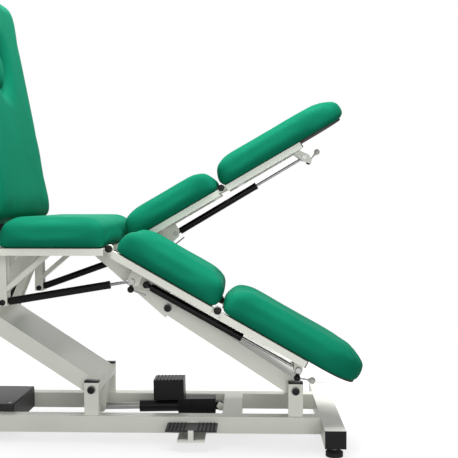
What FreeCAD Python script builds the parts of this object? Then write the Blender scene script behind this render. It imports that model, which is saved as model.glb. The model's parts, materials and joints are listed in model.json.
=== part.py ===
import FreeCAD, Part
import math
import os

# Electric treatment table with a parallelogram lift, a raised back section and two split leg sections.
# X runs towards the foot end, Y towards the far side, Z up, millimetres.
# While it is built, X is counted from the leg hinge axis and Z from the floor. At the end everything is moved
# so that the origin is at the middle of the bottom of the whole table.

# Heights and poses
LIFT_ANGLE = 33.0
BACK_ANGLE = 79.0
NEAR_LEG_ANGLE = -29.5
FAR_LEG_ANGLE = 30.2

# Upholstery
TABLE_W = 610.0
LEG_GAP = 24.0
FOAM_T = 73.0
BOARD_T = 12.0
BOARD_INSET = 18.0
EDGE_R = 36.0
CORNER_R = 38.0
TOE_R = 140.0

# Lengths of the sections, measured from their hinge axes
SEAT_L = 320.0
THIGH_L = 353.0
CALF_L = 474.0
CALF_FRAME_L = 291.0
BACK_L = 780.0
SECTION_GAP = 17.0

# Steel tube and plate
RAIL_W = 25.0
RAIL_H = 20.0
RAIL_WALL = 2.0
RAIL_TOP = 0.0
CHEEK_T = 5.0
CHEEK_GAP = 26.0
STRUT_T = 8.0
KNUCKLE_R = 11.0
KNUCKLE_SIDE_GAP = 0.5
KNUCKLE_TAB = 4.0
HINGE_PIN_R = 5.0
PIN_CAP_R = 10.0
PIN_CAP_T = 4.0
RUN_CLEAR = 0.05

# Leg rails: distance of the inner and outer rail from the middle of the table
RAIL_SIDE_INSET = 20.0
SPRING_SIDE_INSET = 110.0
LEG_RAILS = (40.0, TABLE_W / 2 - RAIL_SIDE_INSET)
SPRING_Y = TABLE_W / 2 - SPRING_SIDE_INSET

# Gas springs
SPRING_TUBE_R = 11.5
SPRING_WALL = 1.0
SPRING_ROD_R = 4.5
SPRING_EYE_R = 10.0
SPRING_NECK = 6.0
EYE_SIDE_CLEAR = 1.0
SPRING_BOLT_R = 5.0
BOLT_HEAD_R = 8.0
BOLT_HEAD_T = 4.0
THIGH_TUBE_L = 318.0
THIGH_ROD_L = 190.0
CALF_TUBE_L = 320.0
CALF_ROD_L = 226.0
BACK_TUBE_L = 350.0
BACK_ROD_L = 325.0
SPRING_BORE_START = 45.0

# The backrest's own ram is thicker, with its own wider brackets
BACK_TUBE_R = 20.0
BACK_ROD_R = 6.5
BACK_CHEEK_GAP = 44.0
BACK_RAM_Y = 180.0

# Spring pivots: x along the section from its hinge, z away from the hinge axis
THIGH_SPRING_SEAT_PIVOT = (-330.5, -164.7)
THIGH_SPRING_LEG_PIVOT = (96.0, -61.7)
CALF_SPRING_THIGH_PIVOT = (136.0, -51.7)
CALF_SPRING_CALF_PIVOT = (293.0, -46.8)
BACK_SPRING_SEAT_PIVOT = (-416.0, -224.0)
BACK_SPRING_BACK_PIVOT = (-400.0, -90.0)

# Backrest hinge, counted from the leg hinge axis, and its ears
BACK_HINGE_BEHIND = 18.0
BACK_HINGE = (-SEAT_L - BACK_HINGE_BEHIND, 56.0)
BACK_SURFACE = 30.0
BACK_END = -8.0
BACK_TOP_TUBE_INSET = 40.0
BACK_PIN_R = 6.0
EAR_T = 6.0
EAR_GAP = 0.5
EAR_SIDE_CLEAR = 6.5
EAR_R = 14.0
PLUG_CENTRE = 510.0
PLUG_HALF_L = 85.0
PLUG_HALF_W = 60.0
PLUG_CLEAR = 2.0
PLUG_LEDGE = 14.0
PLUG_PROUD = 8.0

# Release levers
LEVER_ROD_R = 2.5
LEVER_RING_T = 6.0
LEVER_RING_R = 9.0
KNOB_R = 9.0
THIGH_KNOB = (8.0, -22.0)
THIGH_LEVER_TIP = (55.0, -15.0)
THIGH_TIP_R = 3.0
CALF_KNOB = (8.0, -21.0)
CALF_LEVER_TIP = (50.0, -6.0)
BACK_LEVER_PIVOT = (-400.0, -90.0)
BACK_LEVER_TIP = (-470.0, -110.0)
BACK_LEVER_Y = -230.0
BACK_LEVER_KNOB_R = 14.0

# Lift: pivots counted from the leg hinge axis
ARM_L = 459.0
LOW_PIVOT_H = 157.0
ARM_HALF_W = 122.0
ARM_DEPTH = 50.0
ARM_WALL = 3.0
AXLE_R = 10.0
AXLE_CAP_R = 12.0
AXLE_CAP_T = 7.0
OPEN_PIVOT_CLEAR = 0.3
FRONT_TOP_PIVOT = (151.0, -187.0)
PIVOT_SPAN = 618.0
STRUT_Y = 140.0
STRUT_HALF_W = 27.0
STRUT_END = 14.0

# Actuator
CRANK_R = 90.0
CRANK_T = 6.0
CRANK_GAP = 26.0
CRANK_LEVEL_ANGLE = 36.0
ACTUATOR_PIN_R = 6.0
ACTUATOR_EYE_R = 14.0
ACTUATOR_EYE_W = 24.0
ACTUATOR_REACH = 377.0
ACTUATOR_PIVOT_H = 75.0
ACTUATOR_TUBE_R = 19.0
ACTUATOR_BORE_R = 16.0
ACTUATOR_TUBE_L = 255.0
ACTUATOR_BORE_START = 150.0
ACTUATOR_ROD_R = 10.0
ACTUATOR_ROD_L = 198.0
GEARBOX_START = 12.0
GEARBOX_L = 118.0
GEARBOX_HALF = 26.0
MOTOR_START = 110.0
MOTOR_L = 96.0
MOTOR_TOP = 90.0
MOTOR_HALF_W = 36.0

# Base
BASE_X0 = -600.0
BASE_X1 = 640.0
BASE_RAIL_Y = 140.0
BASE_RAIL_W = 40.0
BASE_RAIL_H = 50.0
BASE_WALL = 3.0
BASE_H = 30.0
CROSSBAR_W = 60.0
CROSSBAR_HALF_L = 300.0
CAP_T = 6.0
POST_T = 20.0
POST_HALF_W = 22.0
POST_ABOVE_PIVOT = 27.0
FOOT_R = 25.0
FOOT_H = 12.0
STUD_R = 6.0
FOOT_INSET = 32.0
BOX_X0 = -470.0
BOX_X1 = -330.0
BOX_H = 62.0
BOX_RISE = 18.0
INLET_W = 28.0
INLET_H = 22.0
INLET_T = 5.0

# Foot pedal
PEDAL_X = 227.0
PEDAL_L = 150.0
PEDAL_W = 76.0
PEDAL_T = 6.0
PEDAL_RISE = 20.0
PEDAL_PLATE_T = 6.0
PEDAL_PLATE_HALF_L = 40.0
PEDAL_LUG_T = 6.0
PEDAL_LUG_HALF_W = 8.0
PEDAL_SIDE_CLEAR = 2.0
PEDAL_PIN_R = 4.0
PEDAL_HUB_R = 8.0

V = FreeCAD.Vector
ALONG_X = V(1, 0, 0)
ALONG_Y = V(0, 1, 0)
ALONG_Z = V(0, 0, 1)
ORIGIN = V(0, 0, 0)
RAIL_BOTTOM = RAIL_TOP - RAIL_H
HINGE_H = LOW_PIVOT_H + ARM_L * math.sin(math.radians(LIFT_ANGLE)) - FRONT_TOP_PIVOT[1]
HALF_W = TABLE_W / 2


# Plain shapes
def block(x0, x1, y0, y1, z0, z1):
    return Part.makeBox(x1 - x0, y1 - y0, z1 - z0, V(x0, y0, z0))


def round_y(point, y0, y1, radius):
    return Part.makeCylinder(radius, y1 - y0, V(point[0], y0, point[1]), ALONG_Y)


def plate(points, y0, y1):
    corners = [V(x, y0, z) for x, z in points]
    face = Part.Face(Part.makePolygon(corners + corners[:1]))
    return face.extrude(V(0, y1 - y0, 0))


def tube_x(x0, x1, y, z0, width, height, wall):
    outer = block(x0, x1, y - width / 2, y + width / 2, z0, z0 + height)
    inner = block(x0, x1, y - width / 2 + wall, y + width / 2 - wall, z0 + wall, z0 + height - wall)
    return outer.cut(inner)


def tube_y(x, y0, y1, z0, width, height, wall):
    outer = block(x - width / 2, x + width / 2, y0, y1, z0, z0 + height)
    inner = block(x - width / 2 + wall, x + width / 2 - wall, y0, y1, z0 + wall, z0 + height - wall)
    return outer.cut(inner)


def rail_x(x0, x1, y, z0=RAIL_BOTTOM):
    return tube_x(x0, x1, y, z0, RAIL_W, RAIL_H, RAIL_WALL)


def rail_y(x, y0, y1, z0=RAIL_BOTTOM):
    return tube_y(x, y0, y1, z0, RAIL_W, RAIL_H, RAIL_WALL)


def rod_between(a, b, y, radius):
    start = V(a[0], y, a[1])
    line = V(b[0], y, b[1]) - start
    return Part.makeCylinder(radius, line.Length, start, line)


def mirrored(y0, y1, side):
    return (y0, y1) if side > 0 else (-y1, -y0)


def turned(point, angle):
    a = math.radians(angle)
    return (point[0] * math.cos(a) - point[1] * math.sin(a), point[0] * math.sin(a) + point[1] * math.cos(a))


def added(a, b):
    return (a[0] + b[0], a[1] + b[1])


def slope(a, b):
    return math.degrees(math.atan2(b[1] - a[1], b[0] - a[0]))


def set_at(shapes, angle, point):
    """Turns solids up by an angle about the origin, then moves them to a point of the side view."""
    out = []
    for shape in shapes:
        copy = shape.copy()
        copy.rotate(ORIGIN, ALONG_Y, -angle)
        copy.translate(V(point[0], 0, point[1]))
        out.append(copy)
    return out


def rounded_slab(x0, x1, y0, y1, z0, z1, radii):
    """A slab with one radius per plan corner: low X low Y, high X low Y, high X high Y, low X high Y."""
    solid = block(x0, x1, y0, y1, z0, z1)
    corners = ((x0, y0), (x1, y0), (x1, y1), (x0, y1))
    for (x, y), radius in zip(corners, radii):
        upright = [e for e in solid.Edges if is_upright_at(e, x, y)]
        solid = solid.makeFillet(radius, upright)
    return solid


def is_upright_at(edge, x, y):
    ends = [v.Point for v in edge.Vertexes]
    return len(ends) == 2 and all(abs(p.x - x) < 1e-6 and abs(p.y - y) < 1e-6 for p in ends)


def cushion(x0, x1, y0, y1, z0, radii):
    solid = rounded_slab(x0, x1, y0, y1, z0, z0 + FOAM_T, radii)
    rim = [e for e in solid.Edges if all(abs(v.Point.z - z0 - FOAM_T) < 1e-6 for v in e.Vertexes)]
    return solid.makeFillet(EDGE_R, rim)


def oval(half_l, half_w, x, z0, z1):
    curve = Part.Ellipse(V(x, 0, z0), half_l, half_w)
    return Part.Face(Part.Wire(curve.toShape())).extrude(V(0, 0, z1 - z0))


def drilled(shape, points, y0, y1, radius):
    for point in points:
        shape = shape.cut(round_y(point, y0 - 1, y1 + 1, radius))
    return shape


# Gas springs and bolts
def spring_tube(length, radius=SPRING_TUBE_R, cheek_gap=CHEEK_GAP):
    half = cheek_gap / 2 - EYE_SIDE_CLEAR
    body_start = SPRING_EYE_R + SPRING_NECK
    body = Part.makeCylinder(radius, length - body_start, V(body_start, 0, 0), ALONG_X)
    neck = Part.makeCylinder(radius / 2, body_start, ORIGIN, ALONG_X)
    solid = round_y((0, 0), -half, half, SPRING_EYE_R).fuse([neck, body])
    bore = Part.makeCylinder(radius - SPRING_WALL, length, V(SPRING_BORE_START, 0, 0), ALONG_X)
    return drilled(solid.cut(bore), [(0, 0)], -half, half, SPRING_BOLT_R + RUN_CLEAR)


def spring_rod(length, radius=SPRING_ROD_R, cheek_gap=CHEEK_GAP):
    half = cheek_gap / 2 - EYE_SIDE_CLEAR
    rod = Part.makeCylinder(radius, length, ORIGIN, V(-1, 0, 0))
    solid = round_y((0, 0), -half, half, SPRING_EYE_R).fuse(rod)
    return drilled(solid, [(0, 0)], -half, half, SPRING_BOLT_R + RUN_CLEAR)


def moved_y(shape, y):
    copy = shape.copy()
    copy.translate(V(0, y, 0))
    return copy


def cheek(points, y, side, holes, cheek_gap=CHEEK_GAP):
    y0, y1 = mirrored(cheek_gap / 2, cheek_gap / 2 + CHEEK_T, side)
    return drilled(plate(points, y + y0, y + y1), holes, y + y0, y + y1, SPRING_BOLT_R)


def cheek_pair(points, y, holes, cheek_gap=CHEEK_GAP):
    return [cheek(points, y, side, holes, cheek_gap) for side in (-1, 1)]


def bolt(point, y, near_room=0.0, cheek_gap=CHEEK_GAP):
    """A bolt through a pair of cheeks, with room on its near side for a lever ring or less for one cheek."""
    reach = cheek_gap / 2 + CHEEK_T
    shank = round_y(point, y - reach - near_room, y + reach, SPRING_BOLT_R)
    near_head = round_y(point, y - reach - near_room - BOLT_HEAD_T, y - reach - near_room, BOLT_HEAD_R)
    far_head = round_y(point, y + reach, y + reach + BOLT_HEAD_T, BOLT_HEAD_R)
    return shank.fuse([near_head, far_head])


LEVER_ROOM = LEVER_RING_T + 2 * KNUCKLE_SIDE_GAP


def ball_rod(start, end, start_r, end_r):
    """A thin round rod with a ball on each end, turned as one piece about its own line."""
    length = math.hypot(end[0] - start[0], end[1] - start[1])
    first = math.sqrt(start_r ** 2 - LEVER_ROD_R ** 2)
    last = length - math.sqrt(end_r ** 2 - LEVER_ROD_R ** 2)
    diagonal = math.sqrt(0.5)
    start_mid = V(-start_r * diagonal, start_r * diagonal, 0)
    end_mid = V(length + end_r * diagonal, end_r * diagonal, 0)
    rod_start, rod_end = V(first, LEVER_ROD_R, 0), V(last, LEVER_ROD_R, 0)
    low, high = V(-start_r, 0, 0), V(length + end_r, 0, 0)
    outline = [
        Part.Arc(low, start_mid, rod_start).toShape(),
        Part.makeLine(rod_start, rod_end),
        Part.Arc(rod_end, end_mid, high).toShape(),
        Part.makeLine(high, low),
    ]
    solid = Part.Face(Part.Wire(outline)).revolve(ORIGIN, ALONG_X, 360)
    return set_at([solid], slope(start, end), start)[0]


def on_ring(pivot, y, arms):
    """A ring on the near side of a bracket, with its arms fused to it and its bore drilled through."""
    y1 = y - CHEEK_GAP / 2 - CHEEK_T - KNUCKLE_SIDE_GAP
    ring = round_y(pivot, y1 - LEVER_RING_T, y1, LEVER_RING_R)
    solid = ring.fuse([moved_y(arm, y1 - LEVER_RING_T / 2) for arm in arms])
    return drilled(solid, [pivot], y1 - LEVER_RING_T, y1, SPRING_BOLT_R + RUN_CLEAR)


def lever(pivot, knob, tip, y, tip_r):
    """A release lever: a stem from its ring to a knob, and a thin rod from the knob to its tip."""
    knob_at = added(pivot, knob)
    stem = rod_between(pivot, knob_at, 0, LEVER_ROD_R)
    return on_ring(pivot, y, [stem, ball_rod(knob_at, added(pivot, tip), KNOB_R, tip_r)])


# Lap hinges of the leg sections
def knuckle(rail_y_at, side, parent, reach):
    """Half of a lap hinge at the origin. The parent's half is the one nearer the middle of the table."""
    near = rail_y_at - RAIL_W / 2 if parent else rail_y_at + KNUCKLE_SIDE_GAP
    far = rail_y_at - KNUCKLE_SIDE_GAP if parent else rail_y_at + RAIL_W / 2
    y0, y1 = mirrored(near, far, side)
    tab = block(*((-reach, 0) if parent else (0, reach)), y0, y1, -KNUCKLE_R, RAIL_TOP)
    solid = tab.fuse(round_y((0, 0), y0, y1, KNUCKLE_R))
    return drilled(solid, [(0, 0)], y0, y1, HINGE_PIN_R + (0 if parent else RUN_CLEAR))


def hinge_pin(rail_y_at, side):
    y0, y1 = mirrored(rail_y_at - RAIL_W / 2, rail_y_at + RAIL_W / 2 + KNUCKLE_SIDE_GAP, side)
    cap_start = y1 if side > 0 else y0 - PIN_CAP_T
    cap = round_y((0, 0), cap_start, cap_start + PIN_CAP_T, PIN_CAP_R)
    return round_y((0, 0), y0, y1, HINGE_PIN_R).fuse(cap)


KNUCKLE_REACH = KNUCKLE_R + KNUCKLE_TAB
nodes = {}

# Seat frame: rails, cross tubes and the fixed halves of the leg hinges
HEAD_TUBE_X = -SEAT_L - RAIL_W / 2
BRACE_TUBE_X = -197.0
FOOT_TUBE_X = -40.0
EAR_Y = HALF_W + EAR_SIDE_CLEAR
CARRIAGE_EAR_Y = EAR_Y + EAR_T + EAR_GAP
OUTER_RAIL = LEG_RAILS[1]
TUBE_HALF = OUTER_RAIL - RAIL_W / 2

frame = [rail_y(HEAD_TUBE_X, -CARRIAGE_EAR_Y, CARRIAGE_EAR_Y)]
frame += [rail_y(x, -TUBE_HALF, TUBE_HALF) for x in (BRACE_TUBE_X, FOOT_TUBE_X)]
for side in (-1, 1):
    frame.append(rail_x(-SEAT_L, -KNUCKLE_REACH, side * OUTER_RAIL))
    frame.append(knuckle(OUTER_RAIL, side, True, KNUCKLE_REACH))
    frame.append(knuckle(LEG_RAILS[0], side, True, -FOOT_TUBE_X - RAIL_W / 2))
nodes["seat_frame"] = frame
nodes["carriage_pins"] = [hinge_pin(y, side) for y in LEG_RAILS for side in (-1, 1)]

# Ears that carry the backrest hinge
EAR_FOOT = ((HEAD_TUBE_X - RAIL_W / 2, RAIL_BOTTOM), (HEAD_TUBE_X + RAIL_W / 2, RAIL_BOTTOM))


def ear(foot, centre, y0, y1, hole_r):
    body = plate([foot[0], foot[1], added(centre, (EAR_R, 0)), added(centre, (-EAR_R, 0))], y0, y1)
    solid = body.fuse(round_y(centre, y0, y1, EAR_R))
    return drilled(solid, [centre], y0, y1, hole_r)


for side in (-1, 1):
    y0, y1 = mirrored(CARRIAGE_EAR_Y, CARRIAGE_EAR_Y + EAR_T, side)
    nodes["seat_frame"].append(ear(EAR_FOOT, BACK_HINGE, y0, y1, BACK_PIN_R))
    p0, p1 = mirrored(EAR_Y, CARRIAGE_EAR_Y + EAR_T, side)
    c0, c1 = mirrored(CARRIAGE_EAR_Y + EAR_T, CARRIAGE_EAR_Y + EAR_T + PIN_CAP_T, side)
    pin = round_y(BACK_HINGE, p0, p1, BACK_PIN_R).fuse(round_y(BACK_HINGE, c0, c1, PIN_CAP_R))
    nodes["carriage_pins"].append(pin)

# Strut plates down to the upper lift axles
rear_top_pivot = added(FRONT_TOP_PIVOT, (-PIVOT_SPAN, 0))


def strut(top, pivot, side):
    a = math.radians(slope(top, pivot))
    along = (math.cos(a), math.sin(a))
    across = (-math.sin(a) * STRUT_HALF_W, math.cos(a) * STRUT_HALF_W)
    tip = added(pivot, (along[0] * STRUT_END, along[1] * STRUT_END))
    foot_half = STRUT_HALF_W / abs(along[1])
    left, right = added(top, (-foot_half, 0)), added(top, (foot_half, 0))
    first, last = (left, right) if along[0] > 0 else (right, left)
    flip = 1 if along[0] > 0 else -1
    upper = added(tip, (across[0] * flip, across[1] * flip))
    lower = added(tip, (-across[0] * flip, -across[1] * flip))
    y0, y1 = mirrored(STRUT_Y, STRUT_Y + STRUT_T, side)
    return drilled(plate([first, last, upper, lower], y0, y1), [pivot], y0, y1, AXLE_R)


nodes["strut_plates"] = []
for side in (-1, 1):
    nodes["strut_plates"].append(strut((FOOT_TUBE_X, RAIL_BOTTOM), FRONT_TOP_PIVOT, side))
    nodes["strut_plates"].append(strut((HEAD_TUBE_X, RAIL_BOTTOM), rear_top_pivot, side))


def axle(point, half):
    return round_y(point, -half, half, AXLE_R)


def axle_caps(point, half):
    return [round_y(point, *mirrored(half, half + AXLE_CAP_T, side), AXLE_CAP_R) for side in (-1, 1)]


top_half = STRUT_Y + STRUT_T
nodes["upper_axles"] = [axle(p, top_half) for p in (FRONT_TOP_PIVOT, rear_top_pivot)]
nodes["upper_axles"] += axle_caps(FRONT_TOP_PIVOT, top_half) + axle_caps(rear_top_pivot, top_half)

# Hanging posts and braces that hold the thigh springs, and the bracket of the backrest spring
POST_HALF_FOOT = 14.0
BRACE_H = 14.0
BRACE_TOP = (BRACE_TUBE_X, RAIL_BOTTOM)
BRACE_DROP = 104.0
post_x, post_z = THIGH_SPRING_SEAT_PIVOT
POST_PLATE = (
    (HEAD_TUBE_X - RAIL_W / 2, RAIL_BOTTOM),
    (HEAD_TUBE_X + RAIL_W / 2, RAIL_BOTTOM),
    (post_x + POST_HALF_FOOT, post_z - SPRING_EYE_R),
    (post_x - POST_HALF_FOOT, post_z - SPRING_EYE_R),
)
bracket_x, bracket_z = BACK_SPRING_SEAT_PIVOT
BRACKET_PLATE = (
    (HEAD_TUBE_X - RAIL_W / 2, RAIL_BOTTOM),
    (HEAD_TUBE_X + RAIL_W / 2, RAIL_BOTTOM),
    (bracket_x + POST_HALF_FOOT, bracket_z),
    (bracket_x, bracket_z - POST_HALF_FOOT),
    (bracket_x - POST_HALF_FOOT, bracket_z),
)


def brace(y):
    bottom = (HEAD_TUBE_X + POST_HALF_FOOT, RAIL_BOTTOM - BRACE_DROP)
    along = slope(bottom, BRACE_TOP)
    length = math.hypot(BRACE_TOP[0] - bottom[0], BRACE_TOP[1] - bottom[1]) + RAIL_W
    start = -POST_HALF_FOOT
    bar = block(start, length, -CHEEK_GAP / 2, CHEEK_GAP / 2, -BRACE_H / 2, BRACE_H / 2)
    bar = set_at([bar], along, bottom)[0]
    bar = bar.cut(block(-SEAT_L * 2, SEAT_L, -CHEEK_GAP, CHEEK_GAP, RAIL_BOTTOM, HINGE_H))
    return moved_y(bar, y)


nodes["spring_posts"] = []
nodes["carriage_pins"].append(bolt(BACK_SPRING_SEAT_PIVOT, BACK_RAM_Y, 0, BACK_CHEEK_GAP))
for side in (-1, 1):
    y = side * SPRING_Y
    nodes["spring_posts"] += cheek_pair(POST_PLATE, y, [THIGH_SPRING_SEAT_PIVOT])
    nodes["spring_posts"].append(brace(y))
    nodes["carriage_pins"].append(bolt(THIGH_SPRING_SEAT_PIVOT, y))
nodes["spring_posts"] += cheek_pair(
    BRACKET_PLATE, BACK_RAM_Y, [BACK_SPRING_SEAT_PIVOT], BACK_CHEEK_GAP
)

# Seat board and cushion
BOARD_TOP = RAIL_TOP + BOARD_T
ROUND_CORNERS = (CORNER_R,) * 4


def board(x0, x1, y0, y1, z0=RAIL_TOP):
    return block(x0 + BOARD_INSET, x1 - BOARD_INSET, y0 + BOARD_INSET, y1 - BOARD_INSET, z0, z0 + BOARD_T)


nodes["seat_board"] = [board(-SEAT_L, -SECTION_GAP, -HALF_W, HALF_W)]
nodes["seat_cushion"] = [cushion(-SEAT_L, -SECTION_GAP, -HALF_W, HALF_W, BOARD_TOP, ROUND_CORNERS)]

# Backrest, built flat about its own hinge and then raised
BACK_BOARD_TOP = BACK_SURFACE - FOAM_T
BACK_RAIL_TOP = BACK_BOARD_TOP - BOARD_T
BACK_RAIL_BOTTOM = BACK_RAIL_TOP - RAIL_H
BACK_FAR = BACK_END - BACK_L
BACK_TUBE_X = -32.0
BACK_LOW_TUBE_X = -200.0
BACK_TOP_TUBE_X = BACK_FAR + BACK_TOP_TUBE_INSET
plug_x = BACK_END - PLUG_CENTRE

back_frame = [rail_y(BACK_TUBE_X, -EAR_Y, EAR_Y, BACK_RAIL_BOTTOM)]
for x in (BACK_LOW_TUBE_X, BACK_LEVER_PIVOT[0], BACK_TOP_TUBE_X):
    back_frame.append(rail_y(x, -TUBE_HALF, TUBE_HALF, BACK_RAIL_BOTTOM))
back_ear_foot = ((BACK_TUBE_X - RAIL_W / 2, BACK_RAIL_BOTTOM), (BACK_TUBE_X + RAIL_W / 2, BACK_RAIL_BOTTOM))
for side in (-1, 1):
    back_frame.append(
        rail_x(BACK_TOP_TUBE_X - RAIL_W / 2, BACK_TUBE_X - RAIL_W / 2, side * OUTER_RAIL, BACK_RAIL_BOTTOM)
    )
    y0, y1 = mirrored(EAR_Y, EAR_Y + EAR_T, side)
    back_frame.append(ear(back_ear_foot, (0, 0), y0, y1, BACK_PIN_R + RUN_CLEAR))


def lug_plate(pivot, bottom):
    """A lug under a tube, down round a pivot."""
    half = RAIL_W / 2
    x, low = pivot[0], pivot[1] - SPRING_EYE_R
    return ((x - half, bottom), (x + half, bottom), (x + half / 2, low), (x - half / 2, low))


back_lug = lug_plate(BACK_SPRING_BACK_PIVOT, BACK_RAIL_BOTTOM)
lever_lug = lug_plate(BACK_LEVER_PIVOT, BACK_RAIL_BOTTOM)
back_frame += cheek_pair(back_lug, BACK_RAM_Y, [BACK_SPRING_BACK_PIVOT], BACK_CHEEK_GAP)
back_frame += cheek_pair(lever_lug, BACK_LEVER_Y, [BACK_LEVER_PIVOT])
back_bolts = [
    bolt(BACK_SPRING_BACK_PIVOT, BACK_RAM_Y, 0, BACK_CHEEK_GAP),
    bolt(BACK_LEVER_PIVOT, BACK_LEVER_Y, LEVER_ROOM),
]
back_board = board(BACK_FAR, BACK_END, -HALF_W, HALF_W, BACK_RAIL_TOP)
back_board = back_board.cut(
    oval(PLUG_HALF_L - PLUG_LEDGE, PLUG_HALF_W - PLUG_LEDGE, plug_x, BACK_RAIL_TOP, BACK_BOARD_TOP)
)
back_cushion = cushion(BACK_FAR, BACK_END, -HALF_W, HALF_W, BACK_BOARD_TOP, ROUND_CORNERS)
back_cushion = back_cushion.cut(
    oval(PLUG_HALF_L + PLUG_CLEAR, PLUG_HALF_W + PLUG_CLEAR, plug_x, BACK_BOARD_TOP, BACK_SURFACE)
)
plug = oval(PLUG_HALF_L, PLUG_HALF_W, plug_x, BACK_BOARD_TOP, BACK_SURFACE + PLUG_PROUD)
back_handle = ball_rod(BACK_LEVER_PIVOT, BACK_LEVER_TIP, LEVER_ROD_R, BACK_LEVER_KNOB_R)
back_lever = on_ring(BACK_LEVER_PIVOT, BACK_LEVER_Y, [back_handle])
BACK_TURN = -BACK_ANGLE
back_parts = {
    "backrest_frame": back_frame,
    "backrest_bolts": back_bolts,
    "backrest_board": [back_board],
    "backrest_cushion": [back_cushion],
    "face_plug": [plug],
    "backrest_lever": [back_lever],
}
for name, shapes in back_parts.items():
    nodes[name] = set_at(shapes, BACK_TURN, BACK_HINGE)

back_spring_top = added(BACK_HINGE, turned(BACK_SPRING_BACK_PIVOT, BACK_TURN))
back_spring_slope = slope(BACK_SPRING_SEAT_PIVOT, back_spring_top)
back_tube = spring_tube(BACK_TUBE_L, BACK_TUBE_R, BACK_CHEEK_GAP)
back_rod = spring_rod(BACK_ROD_L, BACK_ROD_R, BACK_CHEEK_GAP)
back_tube = moved_y(back_tube, BACK_RAM_Y)
back_rod = moved_y(back_rod, BACK_RAM_Y)
nodes["backrest_ram_tube"] = set_at([back_tube], back_spring_slope, BACK_SPRING_SEAT_PIVOT)
nodes["backrest_ram_rod"] = set_at([back_rod], back_spring_slope, back_spring_top)

# Leg sections, built flat about their hinges and then turned
THIGH_END = THIGH_L - SECTION_GAP
THIGH_TUBES = (115.0, 322.0)
CALF_TUBES = (60.0, CALF_FRAME_L - RAIL_W / 2)
THIGH_CHEEK = (
    (78.0, RAIL_BOTTOM), (152.0, RAIL_BOTTOM), (152.0, -50.0), (140.0, -66.0), (92.0, -76.0), (82.0, -62.0),
)
THIGH_FRONT_CHEEK = (
    (78.0, RAIL_BOTTOM), (114.0, RAIL_BOTTOM), (118.0, -64.0), (110.0, -72.0), (92.0, -76.0), (82.0, -62.0),
)
CALF_CHEEK_HALF = 10.0
calf_x, calf_z = CALF_SPRING_CALF_PIVOT
CALF_CHEEK_TOP = ((CALF_FRAME_L - RAIL_W, RAIL_BOTTOM), (CALF_FRAME_L, RAIL_BOTTOM))
CALF_OUTER_CHEEK = (
    *CALF_CHEEK_TOP,
    (calf_x + CALF_CHEEK_HALF, calf_z),
    (calf_x + CALF_CHEEK_HALF, calf_z - SPRING_EYE_R),
    (calf_x - CALF_CHEEK_HALF, calf_z - SPRING_EYE_R),
)
CALF_INNER_CHEEK = (
    *CALF_CHEEK_TOP,
    (calf_x + CALF_KNOB[0] + CALF_CHEEK_HALF, calf_z),
    (calf_x + CALF_KNOB[0] + CALF_CHEEK_HALF, calf_z + CALF_KNOB[1]),
    (calf_x + CALF_KNOB[0], calf_z + CALF_KNOB[1] - CALF_CHEEK_HALF),
    (calf_x - CALF_CHEEK_HALF, calf_z - SPRING_EYE_R),
)
leg_pivots = {}


def leg_rails(end):
    return [rail_x(KNUCKLE_REACH, end, y) for y in LEG_RAILS]


def leg_cross(x):
    return rail_y(x, LEG_RAILS[0] + RAIL_W / 2, LEG_RAILS[1] - RAIL_W / 2)


def sided(shapes, side):
    """Frames and cushions are drawn on the far side, levers on the near side; the other leg mirrors them."""
    if side > 0:
        return shapes
    return [shape.mirror(ORIGIN, ALONG_Y) for shape in shapes]


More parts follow.
